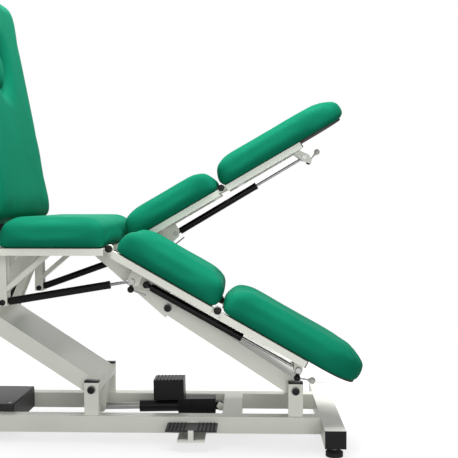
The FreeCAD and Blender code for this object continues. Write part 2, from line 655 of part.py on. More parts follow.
def make_leg(leg, side, angle):
    y_spring = side * SPRING_Y
    inner, outer = LEG_GAP / 2, HALF_W
    knee = turned((THIGH_L, 0), angle)
    knee_rail_end = THIGH_L - KNUCKLE_REACH

    thigh = leg_rails(knee_rail_end) + [leg_cross(x) for x in THIGH_TUBES]
    thigh += [knuckle(y, 1, False, KNUCKLE_REACH) for y in LEG_RAILS]
    for y in LEG_RAILS:
        lap = knuckle(y, 1, True, KNUCKLE_REACH)
        lap.translate(V(THIGH_L, 0, 0))
        thigh.append(lap)
    thigh = sided(thigh, side)
    thigh_holes = [THIGH_SPRING_LEG_PIVOT, CALF_SPRING_THIGH_PIVOT]
    thigh_cheeks = [
        cheek(THIGH_CHEEK, -SPRING_Y, 1, thigh_holes),
        cheek(THIGH_FRONT_CHEEK, -SPRING_Y, -1, thigh_holes[:1]),
    ]
    thigh += sided(thigh_cheeks, -side)
    knee_pins = sided([hinge_pin(y, 1) for y in LEG_RAILS], side)
    for pin in knee_pins:
        pin.translate(V(THIGH_L, 0, 0))
    bolts = [
        bolt(THIGH_SPRING_LEG_PIVOT, -SPRING_Y, LEVER_ROOM),
        bolt(CALF_SPRING_THIGH_PIVOT, -SPRING_Y, -CHEEK_T),
    ]
    pad = cushion(SECTION_GAP, THIGH_END, inner, outer, BOARD_TOP, ROUND_CORNERS)
    thigh_release = lever(THIGH_SPRING_LEG_PIVOT, THIGH_KNOB, THIGH_LEVER_TIP, -SPRING_Y, THIGH_TIP_R)
    thigh_parts = {
        "thigh_frame": thigh,
        "thigh_pins": knee_pins + sided(bolts, -side),
        "thigh_board": sided([board(SECTION_GAP, THIGH_END, inner, outer)], side),
        "thigh_cushion": sided([pad], side),
        "thigh_lever": sided([thigh_release], -side),
    }
    for name, shapes in thigh_parts.items():
        nodes[leg + "_" + name] = set_at(shapes, angle, (0, 0))

    calf = leg_rails(CALF_FRAME_L) + [leg_cross(x) for x in CALF_TUBES]
    calf += [knuckle(y, 1, False, KNUCKLE_REACH) for y in LEG_RAILS]
    calf = sided(calf, side)
    calf_holes = [CALF_SPRING_CALF_PIVOT]
    calf_cheeks = [
        cheek(CALF_INNER_CHEEK, -SPRING_Y, 1, calf_holes),
        cheek(CALF_OUTER_CHEEK, -SPRING_Y, -1, calf_holes),
    ]
    calf += sided(calf_cheeks, -side)
    calf_bolt = bolt(CALF_SPRING_CALF_PIVOT, -SPRING_Y, LEVER_ROOM)
    calf_release = lever(CALF_SPRING_CALF_PIVOT, CALF_KNOB, CALF_LEVER_TIP, -SPRING_Y, KNOB_R)
    toe_corners = (CORNER_R, TOE_R, TOE_R, CORNER_R)
    calf_pad = cushion(SECTION_GAP, CALF_L, inner, outer, BOARD_TOP, toe_corners)
    toe_radii = [radius - BOARD_INSET for radius in toe_corners]
    calf_board = rounded_slab(
        SECTION_GAP + BOARD_INSET, CALF_L - BOARD_INSET, inner + BOARD_INSET, outer - BOARD_INSET,
        RAIL_TOP, BOARD_TOP, toe_radii,
    )
    calf_parts = {
        "calf_frame": calf,
        "calf_bolt": sided([calf_bolt], -side),
        "calf_board": sided([calf_board], side),
        "calf_cushion": sided([calf_pad], side),
        "calf_lever": sided([calf_release], -side),
    }
    for name, shapes in calf_parts.items():
        nodes[leg + "_" + name] = set_at(shapes, angle, knee)

    thigh_pin = turned(THIGH_SPRING_LEG_PIVOT, angle)
    calf_low = turned(CALF_SPRING_THIGH_PIVOT, angle)
    calf_high = added(knee, turned(CALF_SPRING_CALF_PIVOT, angle))
    springs = (
        ("thigh", THIGH_SPRING_SEAT_PIVOT, thigh_pin, THIGH_TUBE_L, THIGH_ROD_L),
        ("calf", calf_low, calf_high, CALF_TUBE_L, CALF_ROD_L),
    )
    for part, start, end, tube_l, rod_l in springs:
        lean = slope(start, end)
        tube = moved_y(spring_tube(tube_l), y_spring)
        rod = moved_y(spring_rod(rod_l), y_spring)
        nodes[leg + "_" + part + "_spring_tube"] = set_at([tube], lean, start)
        nodes[leg + "_" + part + "_spring_rod"] = set_at([rod], lean, end)
    leg_pivots[leg] = {
        "knee": knee, "thigh_pin": thigh_pin, "calf_low": calf_low, "calf_high": calf_high, "y": y_spring,
    }


make_leg("near", -1, NEAR_LEG_ANGLE)
make_leg("far", 1, FAR_LEG_ANGLE)

# Lift arms, built level from their lower axle towards the head end and then raised
arm_drop = turned((ARM_L, 0), -LIFT_ANGLE)
front_low_pivot = added(FRONT_TOP_PIVOT, arm_drop)
rear_low_pivot = added(rear_top_pivot, arm_drop)
crank_tip = (
    CRANK_R * math.sin(math.radians(CRANK_LEVEL_ANGLE)),
    -CRANK_R * math.cos(math.radians(CRANK_LEVEL_ANGLE)),
)


def lift_arm(top_clear):
    half = ARM_DEPTH / 2
    solid = block(-ARM_L, 0, -ARM_HALF_W, ARM_HALF_W, -half, half)
    solid = solid.fuse([round_y((x, 0), -ARM_HALF_W, ARM_HALF_W, half) for x in (-ARM_L, 0)])
    inside_w = ARM_HALF_W - ARM_WALL
    inside_h = half - ARM_WALL
    solid = solid.cut(block(-ARM_L + ARM_DEPTH, -ARM_DEPTH, -inside_w, inside_w, -inside_h, inside_h))
    solid = drilled(solid, [(0, 0)], -ARM_HALF_W, ARM_HALF_W, AXLE_R + RUN_CLEAR)
    return drilled(solid, [(-ARM_L, 0)], -ARM_HALF_W, ARM_HALF_W, AXLE_R + top_clear).removeSplitter()


def crank_cheek(side):
    y0, y1 = mirrored(CRANK_GAP / 2, CRANK_GAP / 2 + CRANK_T, side)
    a = math.atan2(crank_tip[1], crank_tip[0])
    root = (-math.sin(a) * ARM_DEPTH / 2, math.cos(a) * ARM_DEPTH / 2)
    end = (-math.sin(a) * ACTUATOR_EYE_R, math.cos(a) * ACTUATOR_EYE_R)
    below = (crank_tip[0] - end[0], crank_tip[1] - end[1])
    corners = [root, added(crank_tip, end), below, (-root[0], -root[1])]
    solid = plate(corners, y0, y1).fuse(round_y(crank_tip, y0, y1, ACTUATOR_EYE_R))
    solid = solid.cut(round_y((0, 0), y0 - 1, y1 + 1, ARM_DEPTH / 2))
    solid = solid.cut(block(-ARM_L, 0, y0 - 1, y1 + 1, -ARM_DEPTH / 2, ARM_DEPTH / 2))
    return drilled(solid, [crank_tip], y0, y1, ACTUATOR_PIN_R)


crank_half = CRANK_GAP / 2 + CRANK_T
nodes["rear_lift_arm"] = set_at([lift_arm(RUN_CLEAR)], -LIFT_ANGLE, rear_low_pivot)
nodes["front_lift_arm"] = set_at([lift_arm(OPEN_PIVOT_CLEAR)], -LIFT_ANGLE, front_low_pivot)
nodes["rear_lift_arm"] += set_at([crank_cheek(-1), crank_cheek(1)], -LIFT_ANGLE, rear_low_pivot)
crank_pin = round_y(crank_tip, -crank_half, crank_half, ACTUATOR_PIN_R)
nodes["rear_lift_arm"] += set_at([crank_pin], -LIFT_ANGLE, rear_low_pivot)

# Actuator, drawn from its base pin towards the head end
rod_pin = added(rear_low_pivot, turned(crank_tip, -LIFT_ANGLE))
actuator_pivot_x = rod_pin[0] + ACTUATOR_REACH
actuator_pin = (actuator_pivot_x, ACTUATOR_PIVOT_H - HINGE_H)
actuator_slope = slope(rod_pin, actuator_pin)
eye_half = ACTUATOR_EYE_W / 2
housing = round_y((0, 0), -eye_half, eye_half, ACTUATOR_EYE_R)
gearbox_end = -GEARBOX_START - GEARBOX_L
gearbox = block(gearbox_end, -GEARBOX_START, -GEARBOX_HALF, GEARBOX_HALF, -GEARBOX_HALF, GEARBOX_HALF)
eye_neck = block(-GEARBOX_START - 1, 0, -eye_half, eye_half, -eye_half, eye_half)
tube_length = ACTUATOR_TUBE_L - GEARBOX_START
outer_tube = Part.makeCylinder(ACTUATOR_TUBE_R, tube_length, V(-GEARBOX_START, 0, 0), -ALONG_X)
bore = Part.makeCylinder(ACTUATOR_BORE_R, ACTUATOR_TUBE_L, V(-ACTUATOR_BORE_START, 0, 0), -ALONG_X)
housing = housing.fuse([eye_neck, gearbox, outer_tube]).cut(bore)
housing = drilled(housing, [(0, 0)], -eye_half, eye_half, ACTUATOR_PIN_R + RUN_CLEAR)
motor = block(-MOTOR_START - MOTOR_L, -MOTOR_START, -MOTOR_HALF_W, MOTOR_HALF_W, GEARBOX_HALF, MOTOR_TOP)
actuator_rod = Part.makeCylinder(ACTUATOR_ROD_R, ACTUATOR_ROD_L, ORIGIN, ALONG_X)
actuator_rod = actuator_rod.fuse(round_y((0, 0), -eye_half, eye_half, ACTUATOR_EYE_R))
actuator_rod = drilled(actuator_rod, [(0, 0)], -eye_half, eye_half, ACTUATOR_PIN_R + RUN_CLEAR)
nodes["actuator_housing"] = set_at([housing], actuator_slope, actuator_pin)
nodes["actuator_motor"] = set_at([motor], actuator_slope, actuator_pin)
nodes["actuator_rod"] = set_at([actuator_rod], actuator_slope, rod_pin)

# Everything so far is counted from the leg hinge axis
for shapes in nodes.values():
    for shape in shapes:
        shape.translate(V(0, 0, HINGE_H))


def above_floor(point):
    return (point[0], point[1] + HINGE_H)


# Base frame
RAIL_TOP_H = BASE_H + BASE_RAIL_H
rail_ends = (BASE_X0 + CROSSBAR_W / 2, BASE_X1 - CROSSBAR_W / 2)
crossbar_y = CROSSBAR_HALF_L - CAP_T
nodes["base_rails"] = [
    tube_x(rail_ends[0], rail_ends[1], side * BASE_RAIL_Y, BASE_H, BASE_RAIL_W, BASE_RAIL_H, BASE_WALL)
    for side in (-1, 1)
]
nodes["base_crossbars"] = [
    tube_y(x, -crossbar_y, crossbar_y, BASE_H, CROSSBAR_W, BASE_RAIL_H, BASE_WALL) for x in (BASE_X0, BASE_X1)
]
low_axles = [above_floor(front_low_pivot), above_floor(rear_low_pivot)]
POST_TOP = LOW_PIVOT_H + POST_ABOVE_PIVOT
nodes["pivot_posts"] = []
nodes["base_caps"] = []
for x, z in low_axles:
    for side in (-1, 1):
        y0, y1 = mirrored(BASE_RAIL_Y - POST_T / 2, BASE_RAIL_Y + POST_T / 2, side)
        post = block(x - POST_HALF_W, x + POST_HALF_W, y0, y1, RAIL_TOP_H, POST_TOP - CAP_T)
        nodes["pivot_posts"].append(drilled(post, [(x, z)], y0, y1, AXLE_R))
        nodes["base_caps"].append(block(x - POST_HALF_W, x + POST_HALF_W, y0, y1, POST_TOP - CAP_T, POST_TOP))
for x in (BASE_X0, BASE_X1):
    for side in (-1, 1):
        y0, y1 = mirrored(crossbar_y, CROSSBAR_HALF_L, side)
        nodes["base_caps"].append(block(x - CROSSBAR_W / 2, x + CROSSBAR_W / 2, y0, y1, BASE_H, RAIL_TOP_H))
low_half = BASE_RAIL_Y + POST_T / 2
nodes["lower_axles"] = [axle(p, low_half) for p in low_axles]
nodes["lower_axles"] += axle_caps(low_axles[0], low_half) + axle_caps(low_axles[1], low_half)
nodes["feet"] = []
for x in (BASE_X0, BASE_X1):
    for y in (-crossbar_y + FOOT_INSET, crossbar_y - FOOT_INSET):
        nodes["feet"].append(Part.makeCylinder(FOOT_R, FOOT_H, V(x, y, 0), ALONG_Z))
        nodes["feet"].append(Part.makeCylinder(STUD_R, BASE_H - FOOT_H, V(x, y, FOOT_H), ALONG_Z))

# Cross tube with the lugs that hold the actuator's base pin
inner_half = BASE_RAIL_Y - BASE_RAIL_W / 2
LUG_DROP = 8.0
lug_x = actuator_pivot_x + ACTUATOR_EYE_R + CROSSBAR_W / 2
lug_points = (
    (lug_x - CROSSBAR_W / 2, ACTUATOR_PIVOT_H - ACTUATOR_EYE_R),
    (lug_x - CROSSBAR_W / 2, ACTUATOR_PIVOT_H + ACTUATOR_EYE_R - LUG_DROP),
    (actuator_pivot_x, ACTUATOR_PIVOT_H + ACTUATOR_EYE_R),
    (actuator_pivot_x - ACTUATOR_EYE_R + GEARBOX_START / 2, ACTUATOR_PIVOT_H),
    (actuator_pivot_x, ACTUATOR_PIVOT_H - ACTUATOR_EYE_R),
)
mount = [tube_y(lug_x, -inner_half, inner_half, BASE_H, CROSSBAR_W, BASE_RAIL_H, BASE_WALL)]
for side in (-1, 1):
    y0, y1 = mirrored(CRANK_GAP / 2, CRANK_GAP / 2 + CRANK_T, side)
    lug = drilled(plate(lug_points, y0, y1), [(actuator_pivot_x, ACTUATOR_PIVOT_H)], y0, y1, ACTUATOR_PIN_R)
    mount.append(lug)
nodes["actuator_mount"] = mount
mount.append(round_y((actuator_pivot_x, ACTUATOR_PIVOT_H), -crank_half, crank_half, ACTUATOR_PIN_R))

# Control box between the rails, with its mains inlet
box_top = RAIL_TOP_H + BOX_RISE
nodes["control_box"] = [
    rounded_slab(BOX_X0, BOX_X1, -inner_half, inner_half, box_top - BOX_H, box_top, (FOOT_H,) * 4)
]
inlet_z = box_top - BOX_H / 2
nodes["mains_inlet"] = [
    block(BOX_X0 - INLET_T, BOX_X0, -INLET_W / 2, INLET_W / 2, inlet_z - INLET_H / 2, inlet_z + INLET_H / 2)
]

# Foot pedal on the near side of the base
pedal_y1 = -BASE_RAIL_Y - BASE_RAIL_W / 2 - PEDAL_LUG_T - PEDAL_SIDE_CLEAR
pedal_y0 = pedal_y1 - PEDAL_W
lug_in = (pedal_y1 + PEDAL_SIDE_CLEAR, pedal_y1 + PEDAL_SIDE_CLEAR + PEDAL_LUG_T)
lug_out = (pedal_y0 - PEDAL_SIDE_CLEAR - PEDAL_LUG_T, pedal_y0 - PEDAL_SIDE_CLEAR)
plate_top = BASE_H + PEDAL_PLATE_T
pedal_pivot = (PEDAL_X, plate_top + PEDAL_RISE)
bracket = [
    block(PEDAL_X - PEDAL_PLATE_HALF_L, PEDAL_X + PEDAL_PLATE_HALF_L, lug_out[0], lug_in[1], BASE_H, plate_top)
]
for y0, y1 in (lug_in, lug_out):
    ear_block = block(
        PEDAL_X - PEDAL_LUG_HALF_W, PEDAL_X + PEDAL_LUG_HALF_W, y0, y1, plate_top, pedal_pivot[1] + PEDAL_HUB_R
    )
    bracket.append(drilled(ear_block, [pedal_pivot], y0, y1, PEDAL_PIN_R))
nodes["pedal_bracket"] = bracket
bracket.append(round_y(pedal_pivot, lug_out[0], lug_in[1], PEDAL_PIN_R))
tread_z = pedal_pivot[1] + PEDAL_HUB_R - PEDAL_T
tread = block(
    PEDAL_X - PEDAL_L / 2, PEDAL_X + PEDAL_L / 2, pedal_y0, pedal_y1, tread_z, tread_z + PEDAL_T
)
pedal = tread.fuse(round_y(pedal_pivot, pedal_y0, pedal_y1, PEDAL_HUB_R))
nodes["foot_pedal"] = [drilled(pedal, [pedal_pivot], pedal_y0, pedal_y1, PEDAL_PIN_R + RUN_CLEAR)]

# Move the origin to the middle of the bottom of the whole table, and write the parts
bounds = FreeCAD.BoundBox()
for shapes in nodes.values():
    for shape in shapes:
        bounds.add(shape.BoundBox)
shift = V(-bounds.Center.x, -bounds.Center.y, -bounds.ZMin)
os.makedirs("parts", exist_ok=True)
for name, shapes in nodes.items():
    for shape in shapes:
        shape.translate(shift)
    solids = [solid for shape in shapes for solid in shape.Solids]
    whole = solids[0] if len(solids) == 1 else Part.makeCompound(solids)
    whole.exportStep("parts/" + name + ".step")
print(len(nodes), "nodes, size", bounds.XLength, bounds.YLength, bounds.ZLength, "shift", shift)
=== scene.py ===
# %% [markdown]
# # Electric treatment table
# The table is a steel frame on a lift of two parallel arms, with a padded seat, a backrest and two legs of
# two padded sections each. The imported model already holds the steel, the lift and every joint, in metres.
# It could all be modelled again here, but then it would drift from the joints, so this lesson dresses it:
# soft cushions, turned knobs, moulded caps and real finishes, each riding on the body that carries it.

# %% load the frame
import bmesh
import bpy
import json
import math
from mathutils import Matrix, Vector


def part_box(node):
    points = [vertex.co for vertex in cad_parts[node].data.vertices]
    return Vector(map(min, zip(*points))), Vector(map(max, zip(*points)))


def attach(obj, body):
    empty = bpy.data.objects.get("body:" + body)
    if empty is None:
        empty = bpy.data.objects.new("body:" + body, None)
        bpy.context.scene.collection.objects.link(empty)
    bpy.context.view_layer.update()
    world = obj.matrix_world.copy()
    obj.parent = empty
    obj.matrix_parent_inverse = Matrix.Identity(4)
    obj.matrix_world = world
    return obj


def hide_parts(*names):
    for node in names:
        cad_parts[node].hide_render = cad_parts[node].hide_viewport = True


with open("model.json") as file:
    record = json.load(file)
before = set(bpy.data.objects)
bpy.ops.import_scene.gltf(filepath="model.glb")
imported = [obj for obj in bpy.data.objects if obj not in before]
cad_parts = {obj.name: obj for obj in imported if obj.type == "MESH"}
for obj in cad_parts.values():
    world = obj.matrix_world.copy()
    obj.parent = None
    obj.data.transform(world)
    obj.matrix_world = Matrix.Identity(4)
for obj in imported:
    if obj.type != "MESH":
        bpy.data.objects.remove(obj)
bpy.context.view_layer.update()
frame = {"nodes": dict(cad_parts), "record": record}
NODES = frame["nodes"]
JOINTS = {joint["name"]: joint for joint in frame["record"]["behaviour"]["joints"]}
MM = 0.001

# %% [markdown]
# ## Working by hand in code
# Every tool of Blender acts on what is selected, and the loaded frame is selected. A maker would click
# in the viewport; a script can pass a selection about or keep one habit. The habit is plainer: deselect
# all, make one thing active, and work on that.


# %% selection helpers
def deselect_all():
    if bpy.context.object and bpy.context.object.mode != "OBJECT":
        bpy.ops.object.mode_set(mode="OBJECT")
    bpy.ops.object.select_all(action="DESELECT")


def take_up(*objects):
    """Makes these objects the only selected ones, with the first as the active one."""
    deselect_all()
    for obj in objects:
        obj.select_set(True)
    bpy.context.view_layer.objects.active = objects[0]


def set_in_place(obj, matrix):
    """Puts an object's place, turn and size into its mesh, so that the object stays at the origin."""
    take_up(obj)
    bpy.ops.object.transform_apply(location=True, rotation=True, scale=True)
    obj.data.transform(matrix)
    return obj


def apply_modifier(obj, kind, **settings):
    modifier = obj.modifiers.new(kind.title(), kind)
    for key, value in settings.items():
        setattr(modifier, key, value)
    take_up(obj)
    bpy.ops.object.modifier_apply(modifier=modifier.name)


def shade(obj, angle=35):
    take_up(obj)
    bpy.ops.object.shade_smooth_by_angle(angle=math.radians(angle))


deselect_all()
print("selected now:", len(bpy.context.selected_objects))

# %% [markdown]
# Edit mode has its own selection. Faces and edges are picked here by where they are or which way they face,
# because their numbers change as soon as something is extruded.

# %% picking faces and edges
SQUARE_ON = 0.99


def pick_faces(obj, test):
    """In edit mode, selects the faces whose middle and normal pass a test."""
    bpy.ops.mesh.select_mode(type="FACE")
    bpy.ops.mesh.select_all(action="DESELECT")
    mesh = bmesh.from_edit_mesh(obj.data)
    for face in mesh.faces:
        face.select = test(face.calc_center_median(), face.normal)
    mesh.select_flush_mode()
    bmesh.update_edit_mesh(obj.data)


def pick_edges(obj, test):
    """In edit mode, selects the edges whose two ends both pass a test."""
    bpy.ops.mesh.select_mode(type="EDGE")
    bpy.ops.mesh.select_all(action="DESELECT")
    mesh = bmesh.from_edit_mesh(obj.data)
    for edge in mesh.edges:
        edge.select = all(test(vert.co) for vert in edge.verts)
    mesh.select_flush_mode()
    bmesh.update_edit_mesh(obj.data)


def same(a, b):
    return abs(a - b) < 1e-6


print("faces are picked by middle and normal, edges by their ends")

# %% [markdown]
# ## Handing a piece to the frame
# A finished piece needs a name, a finish and a body to ride on. A cap or screw that repeats is modelled
# once. Linked copies would share one mesh, but each copy here gets its own, which holds its place.


# %% piece helpers
def joined(pieces):
    take_up(*pieces)
    if len(pieces) > 1:
        bpy.ops.object.join()
    return pieces[0]


def copies(pattern, matrices):
    """Copies of one modelled piece at several places, joined; the pattern itself is used up."""
    pieces = []
    for matrix in matrices:
        piece = bpy.data.objects.new(pattern.name, pattern.data.copy())
        bpy.context.scene.collection.objects.link(piece)
        piece.data.transform(matrix)
        pieces.append(piece)
    bpy.data.objects.remove(pattern)
    return joined(pieces)


def hand_over(obj, name, body, material, replaced=()):
    obj.name = name
    obj.data.name = name
    obj.data.materials.clear()
    obj.data.materials.append(material)
    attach(obj, body)
    if replaced:
        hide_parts(*replaced)
    print(name, "rides on", body, "with", len(obj.data.polygons), "faces")


def hinge_at(name):
    return Vector(JOINTS[name]["pos_m"])


def facing(line):
    """The turn that points an object's Z axis along a line."""
    return line.to_track_quat("Z", "Y").to_matrix().to_4x4()


def tilted(origin, degrees):
    """From a section's own level frame to its place: turned up by an angle about Y, at its hinge."""
    turn = Matrix.Rotation(math.radians(-degrees), 4, "Y")
    return Matrix.Translation((origin.x, 0, origin.z)) @ turn


leg_axis = hinge_at("near_thigh")
print("leg hinges at height", round(leg_axis.z, 3))

# %% [markdown]
# ## Finishes as node trees
# Each finish is procedural and reads Object coordinates, so its grain has a real size on every piece and
# needs no unwrapping. An image could do it, but it would stretch over the pads and have to be stored.


# %% node helpers
def new_finish(name, roughness, specular, metallic=0.0):
    material = bpy.data.materials.new(name)
    material.use_nodes = True
    shader = material.node_tree.nodes["Principled BSDF"]
    shader.inputs["Roughness"].default_value = roughness
    shader.inputs["Specular IOR Level"].default_value = specular
    shader.inputs["Metallic"].default_value = metallic
    return material, shader


def add_node(material, kind, **inputs):
    node = material.node_tree.nodes.new(kind)
    for key, value in inputs.items():
        node.inputs[key].default_value = value
    return node


def wire(material, source, output, target, socket):
    material.node_tree.links.new(source.outputs[output], target.inputs[socket])


def object_place(material, stretch=(1, 1, 1)):
    place = add_node(material, "ShaderNodeTexCoord")
    mapping = add_node(material, "ShaderNodeMapping", Scale=stretch)
    wire(material, place, "Object", mapping, "Vector")
    return mapping


def cloud(material, place, scale, detail=3.0):
    texture = add_node(material, "ShaderNodeTexNoise", Scale=scale, Detail=detail)
    wire(material, place, "Vector", texture, "Vector")
    return texture


def two_tones(material, shader, texture, low, high):
    """The colour wanders between two tones with a texture."""
    ramp = add_node(material, "ShaderNodeValToRGB")
    for stop, position, colour in zip(ramp.color_ramp.elements, (0.3, 0.7), (low, high)):
        stop.position = position
        stop.color = (*colour, 1)
    wire(material, texture, "Fac", ramp, "Fac")
    wire(material, ramp, "Color", shader, "Base Color")


def uneven_gloss(material, shader, texture, low, high):
    span = add_node(material, "ShaderNodeMapRange")
    span.inputs["To Min"].default_value = low
    span.inputs["To Max"].default_value = high
    wire(material, texture, "Fac", span, "Value")
    wire(material, span, "Result", shader, "Roughness")


def relief(material, shader, texture, output, strength, depth):
    node = add_node(material, "ShaderNodeBump", Strength=strength, Distance=depth)
    wire(material, texture, output, node, "Height")
    wire(material, node, "Normal", shader, "Normal")


print("node helpers ready")

# %% [markdown]
# ### Green vinyl
# The covers are coated upholstery vinyl: an even green, a soft shine and a fine leather print under 2 mm.
# Displacing real geometry that fine would cost millions of faces, so a cell pattern drives a shallow bump.
# The shine is kept low, because a strong one lies over the dark green like milk.

# %% green vinyl
VINYL_LOW = (0.0046, 0.150, 0.083)
VINYL_HIGH = (0.0054, 0.168, 0.094)


def make_vinyl():
    material, shader = new_finish("green_vinyl", 0.5, 0.004)
    place = object_place(material)
    two_tones(material, shader, cloud(material, place, 9.0), VINYL_LOW, VINYL_HIGH)
    grain = add_node(material, "ShaderNodeTexVoronoi", Scale=700.0)
    grain.feature = "SMOOTH_F1"
    wire(material, place, "Vector", grain, "Vector")
    relief(material, shader, grain, "Distance", 0.10, 0.0003)
    uneven_gloss(material, shader, cloud(material, place, 60.0), 0.46, 0.56)
    return material


VINYL = make_vinyl()
print(VINYL.name, "between", VINYL_LOW, "and", VINYL_HIGH)

# %% [markdown]
# ### Cream powder coat
# The steel is powder coated in a warm off-white. The coat melts into a faint orange-peel skin, so a fine
# noise gives a very low bump, and a wide noise moves the tone a little from tube to tube.

# %% cream powder coat
PAINT_LOW = (0.725, 0.735, 0.655)
PAINT_HIGH = (0.775, 0.785, 0.705)


def make_paint():
    material, shader = new_finish("cream_powder_coat", 0.36, 0.4)
    place = object_place(material)
    two_tones(material, shader, cloud(material, place, 5.0), PAINT_LOW, PAINT_HIGH)
    relief(material, shader, cloud(material, place, 420.0, 2.0), "Fac", 0.06, 0.0004)
    uneven_gloss(material, shader, cloud(material, place, 30.0), 0.32, 0.42)
    return material


PAINT = make_paint()
print(PAINT.name, "between", PAINT_LOW, "and", PAINT_HIGH)

# %% [markdown]
# ### Plastics, lacquer and rubber
# Spring tubes are lacquered black, knobs and caps are moulded black, a few knobs are grey, and feet are
# rubber. They differ in tone, gloss and grain only, so one function makes them all.


# %% plastics, lacquer and rubber
def make_plastic(name, colour, roughness, specular, grain):
    material, shader = new_finish(name, roughness, specular)
    place = object_place(material)
    lighter = tuple(part * 1.35 for part in colour)
    two_tones(material, shader, cloud(material, place, 40.0), colour, lighter)
    relief(material, shader, cloud(material, place, grain, 2.0), "Fac", 0.12, 0.0002)
    uneven_gloss(material, shader, cloud(material, place, 80.0), roughness - 0.05, roughness + 0.05)
    return material


LACQUER = make_plastic("black_lacquer", (0.0036, 0.0036, 0.0038), 0.34, 0.12, 500.0)
BLACK = make_plastic("black_moulding", (0.0045, 0.0045, 0.0048), 0.40, 0.14, 900.0)
HOUSING = make_plastic("dark_housing", (0.012, 0.012, 0.013), 0.5, 0.3, 700.0)
GREY = make_plastic("grey_moulding", (0.42, 0.43, 0.39), 0.36, 0.4, 900.0)
RUBBER = make_plastic("black_rubber", (0.012, 0.012, 0.012), 0.7, 0.2, 1400.0)
print("plastics:", [finish.name for finish in (LACQUER, BLACK, HOUSING, GREY, RUBBER)])

# %% [markdown]
# ### Steel and board
# Pins and lever rods are zinc-plated: a metal shader with fine scratches drawn out along one axis. Piston
# rods are ground and hard-chromed; their colour is set darker than the plated steel's, as a painted dark
# reflection of the tube and the floor. Under each cushion is a board coloured near black, as painted shade
# under the cushion; its bump is a tight wave.


# %% steel and board
def make_steel(name, colour, roughness):
    material, shader = new_finish(name, roughness, 0.5, 1.0)
    place = object_place(material, (1, 12, 1))
    scratches = cloud(material, place, 260.0, 4.0)
    two_tones(material, shader, scratches, tuple(part * 0.9 for part in colour), colour)
    relief(material, shader, scratches, "Fac", 0.05, 0.0001)
    uneven_gloss(material, shader, scratches, roughness - 0.06, roughness + 0.08)
    return material


def make_shaded_board():
    material, shader = new_finish("painted_shade_board", 0.85, 0.15)
    place = object_place(material)
    # Near-black tones: painted shade under each cushion, on its board.
    two_tones(material, shader, cloud(material, place, 90.0), (0.030, 0.028, 0.025), (0.055, 0.050, 0.045))
    weave = add_node(material, "ShaderNodeTexWave", Scale=300.0, Distortion=1.5)
    wire(material, place, "Vector", weave, "Vector")
    relief(material, shader, weave, "Fac", 0.25, 0.0003)
    return material


STEEL = make_steel("plated_steel", (0.30, 0.30, 0.29), 0.42)
# The piston's darker colour is a painted dark reflection of the tube and the floor.
PISTON = make_steel("piston_painted_reflection", (0.22, 0.22, 0.22), 0.26)
SHADED_BOARD = make_shaded_board()
print("steels:", STEEL.name, PISTON.name, "and", SHADED_BOARD.name)

# %% [markdown]
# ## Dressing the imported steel
# Welded tube has no knife edges: its corners are bent to a radius. Modelling each radius would repeat the
# construction, so a live Bevel modifier softens every sharp edge of painted and moulded nodes, wider on the
# big folded lift arms than on the small tabs.

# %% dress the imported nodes
FINISH_OF_SLOT = {
    "vinyl": VINYL, "painted_steel": PAINT, "spring_black": LACQUER, "bright_steel": STEEL,
    "black_plastic": BLACK, "board": SHADED_BOARD, "rubber": RUBBER,
}
SLOT_OF_NODE = {sub["node"]: sub["material_slot"] for sub in frame["record"]["subparts"]}
TUBE_EDGE = 1.2 * MM
WIDE_EDGE = {
    "rear_lift_arm": 6 * MM, "front_lift_arm": 6 * MM, "control_box": 4 * MM, "actuator_motor": 6 * MM,
}
EDGE_CUTS = 3
SHARP_FROM = 50
DARK_HOUSINGS = ("control_box", "foot_pedal", "mains_inlet")
for name, node in NODES.items():
    finish = FINISH_OF_SLOT[SLOT_OF_NODE[name]]
    if name in DARK_HOUSINGS:
        finish = HOUSING
    if name.endswith(("spring_rod", "ram_rod")):
        finish = PISTON
    node.data.materials.clear()
    node.data.materials.append(finish)
    if SLOT_OF_NODE[name] in ("painted_steel", "black_plastic"):
        soft = node.modifiers.new("Bent corners", "BEVEL")
        soft.width = WIDE_EDGE.get(name, TUBE_EDGE)
        soft.segments = EDGE_CUTS
        soft.limit_method = "ANGLE"
        soft.angle_limit = math.radians(SHARP_FROM)
        soft.use_clamp_overlap = True
    shade(node)
print("finishes on", len(NODES), "nodes")

# %% [markdown]
# ## Cushions
# A cushion is foam on a board under stretched vinyl: flat below, crowned above, with big round edges and no
# seam on show. It could be sculpted, or blown up from a flat cover. Here a slab is cut to the plan, its rim
# is bevelled, and cloth simulation then swells it with its hem held to the board, as foam pushes a cover.

# %% cushion sizes
HALF_W = 305 * MM
LEG_INNER = 12 * MM
PAD_BOTTOM = 0.4 * MM
PAD_TOP = 85 * MM
SWELL = 4 * MM
RIM_R = 28 * MM
HEM_R = 14 * MM
CORNER_R = 26 * MM
print("cushions", PAD_TOP - PAD_BOTTOM, "thick, legs", HALF_W - LEG_INNER, "wide")

# %% cut a slab
CORNER_CUTS, RIM_CUTS, HEM_CUTS = 12, 8, 6


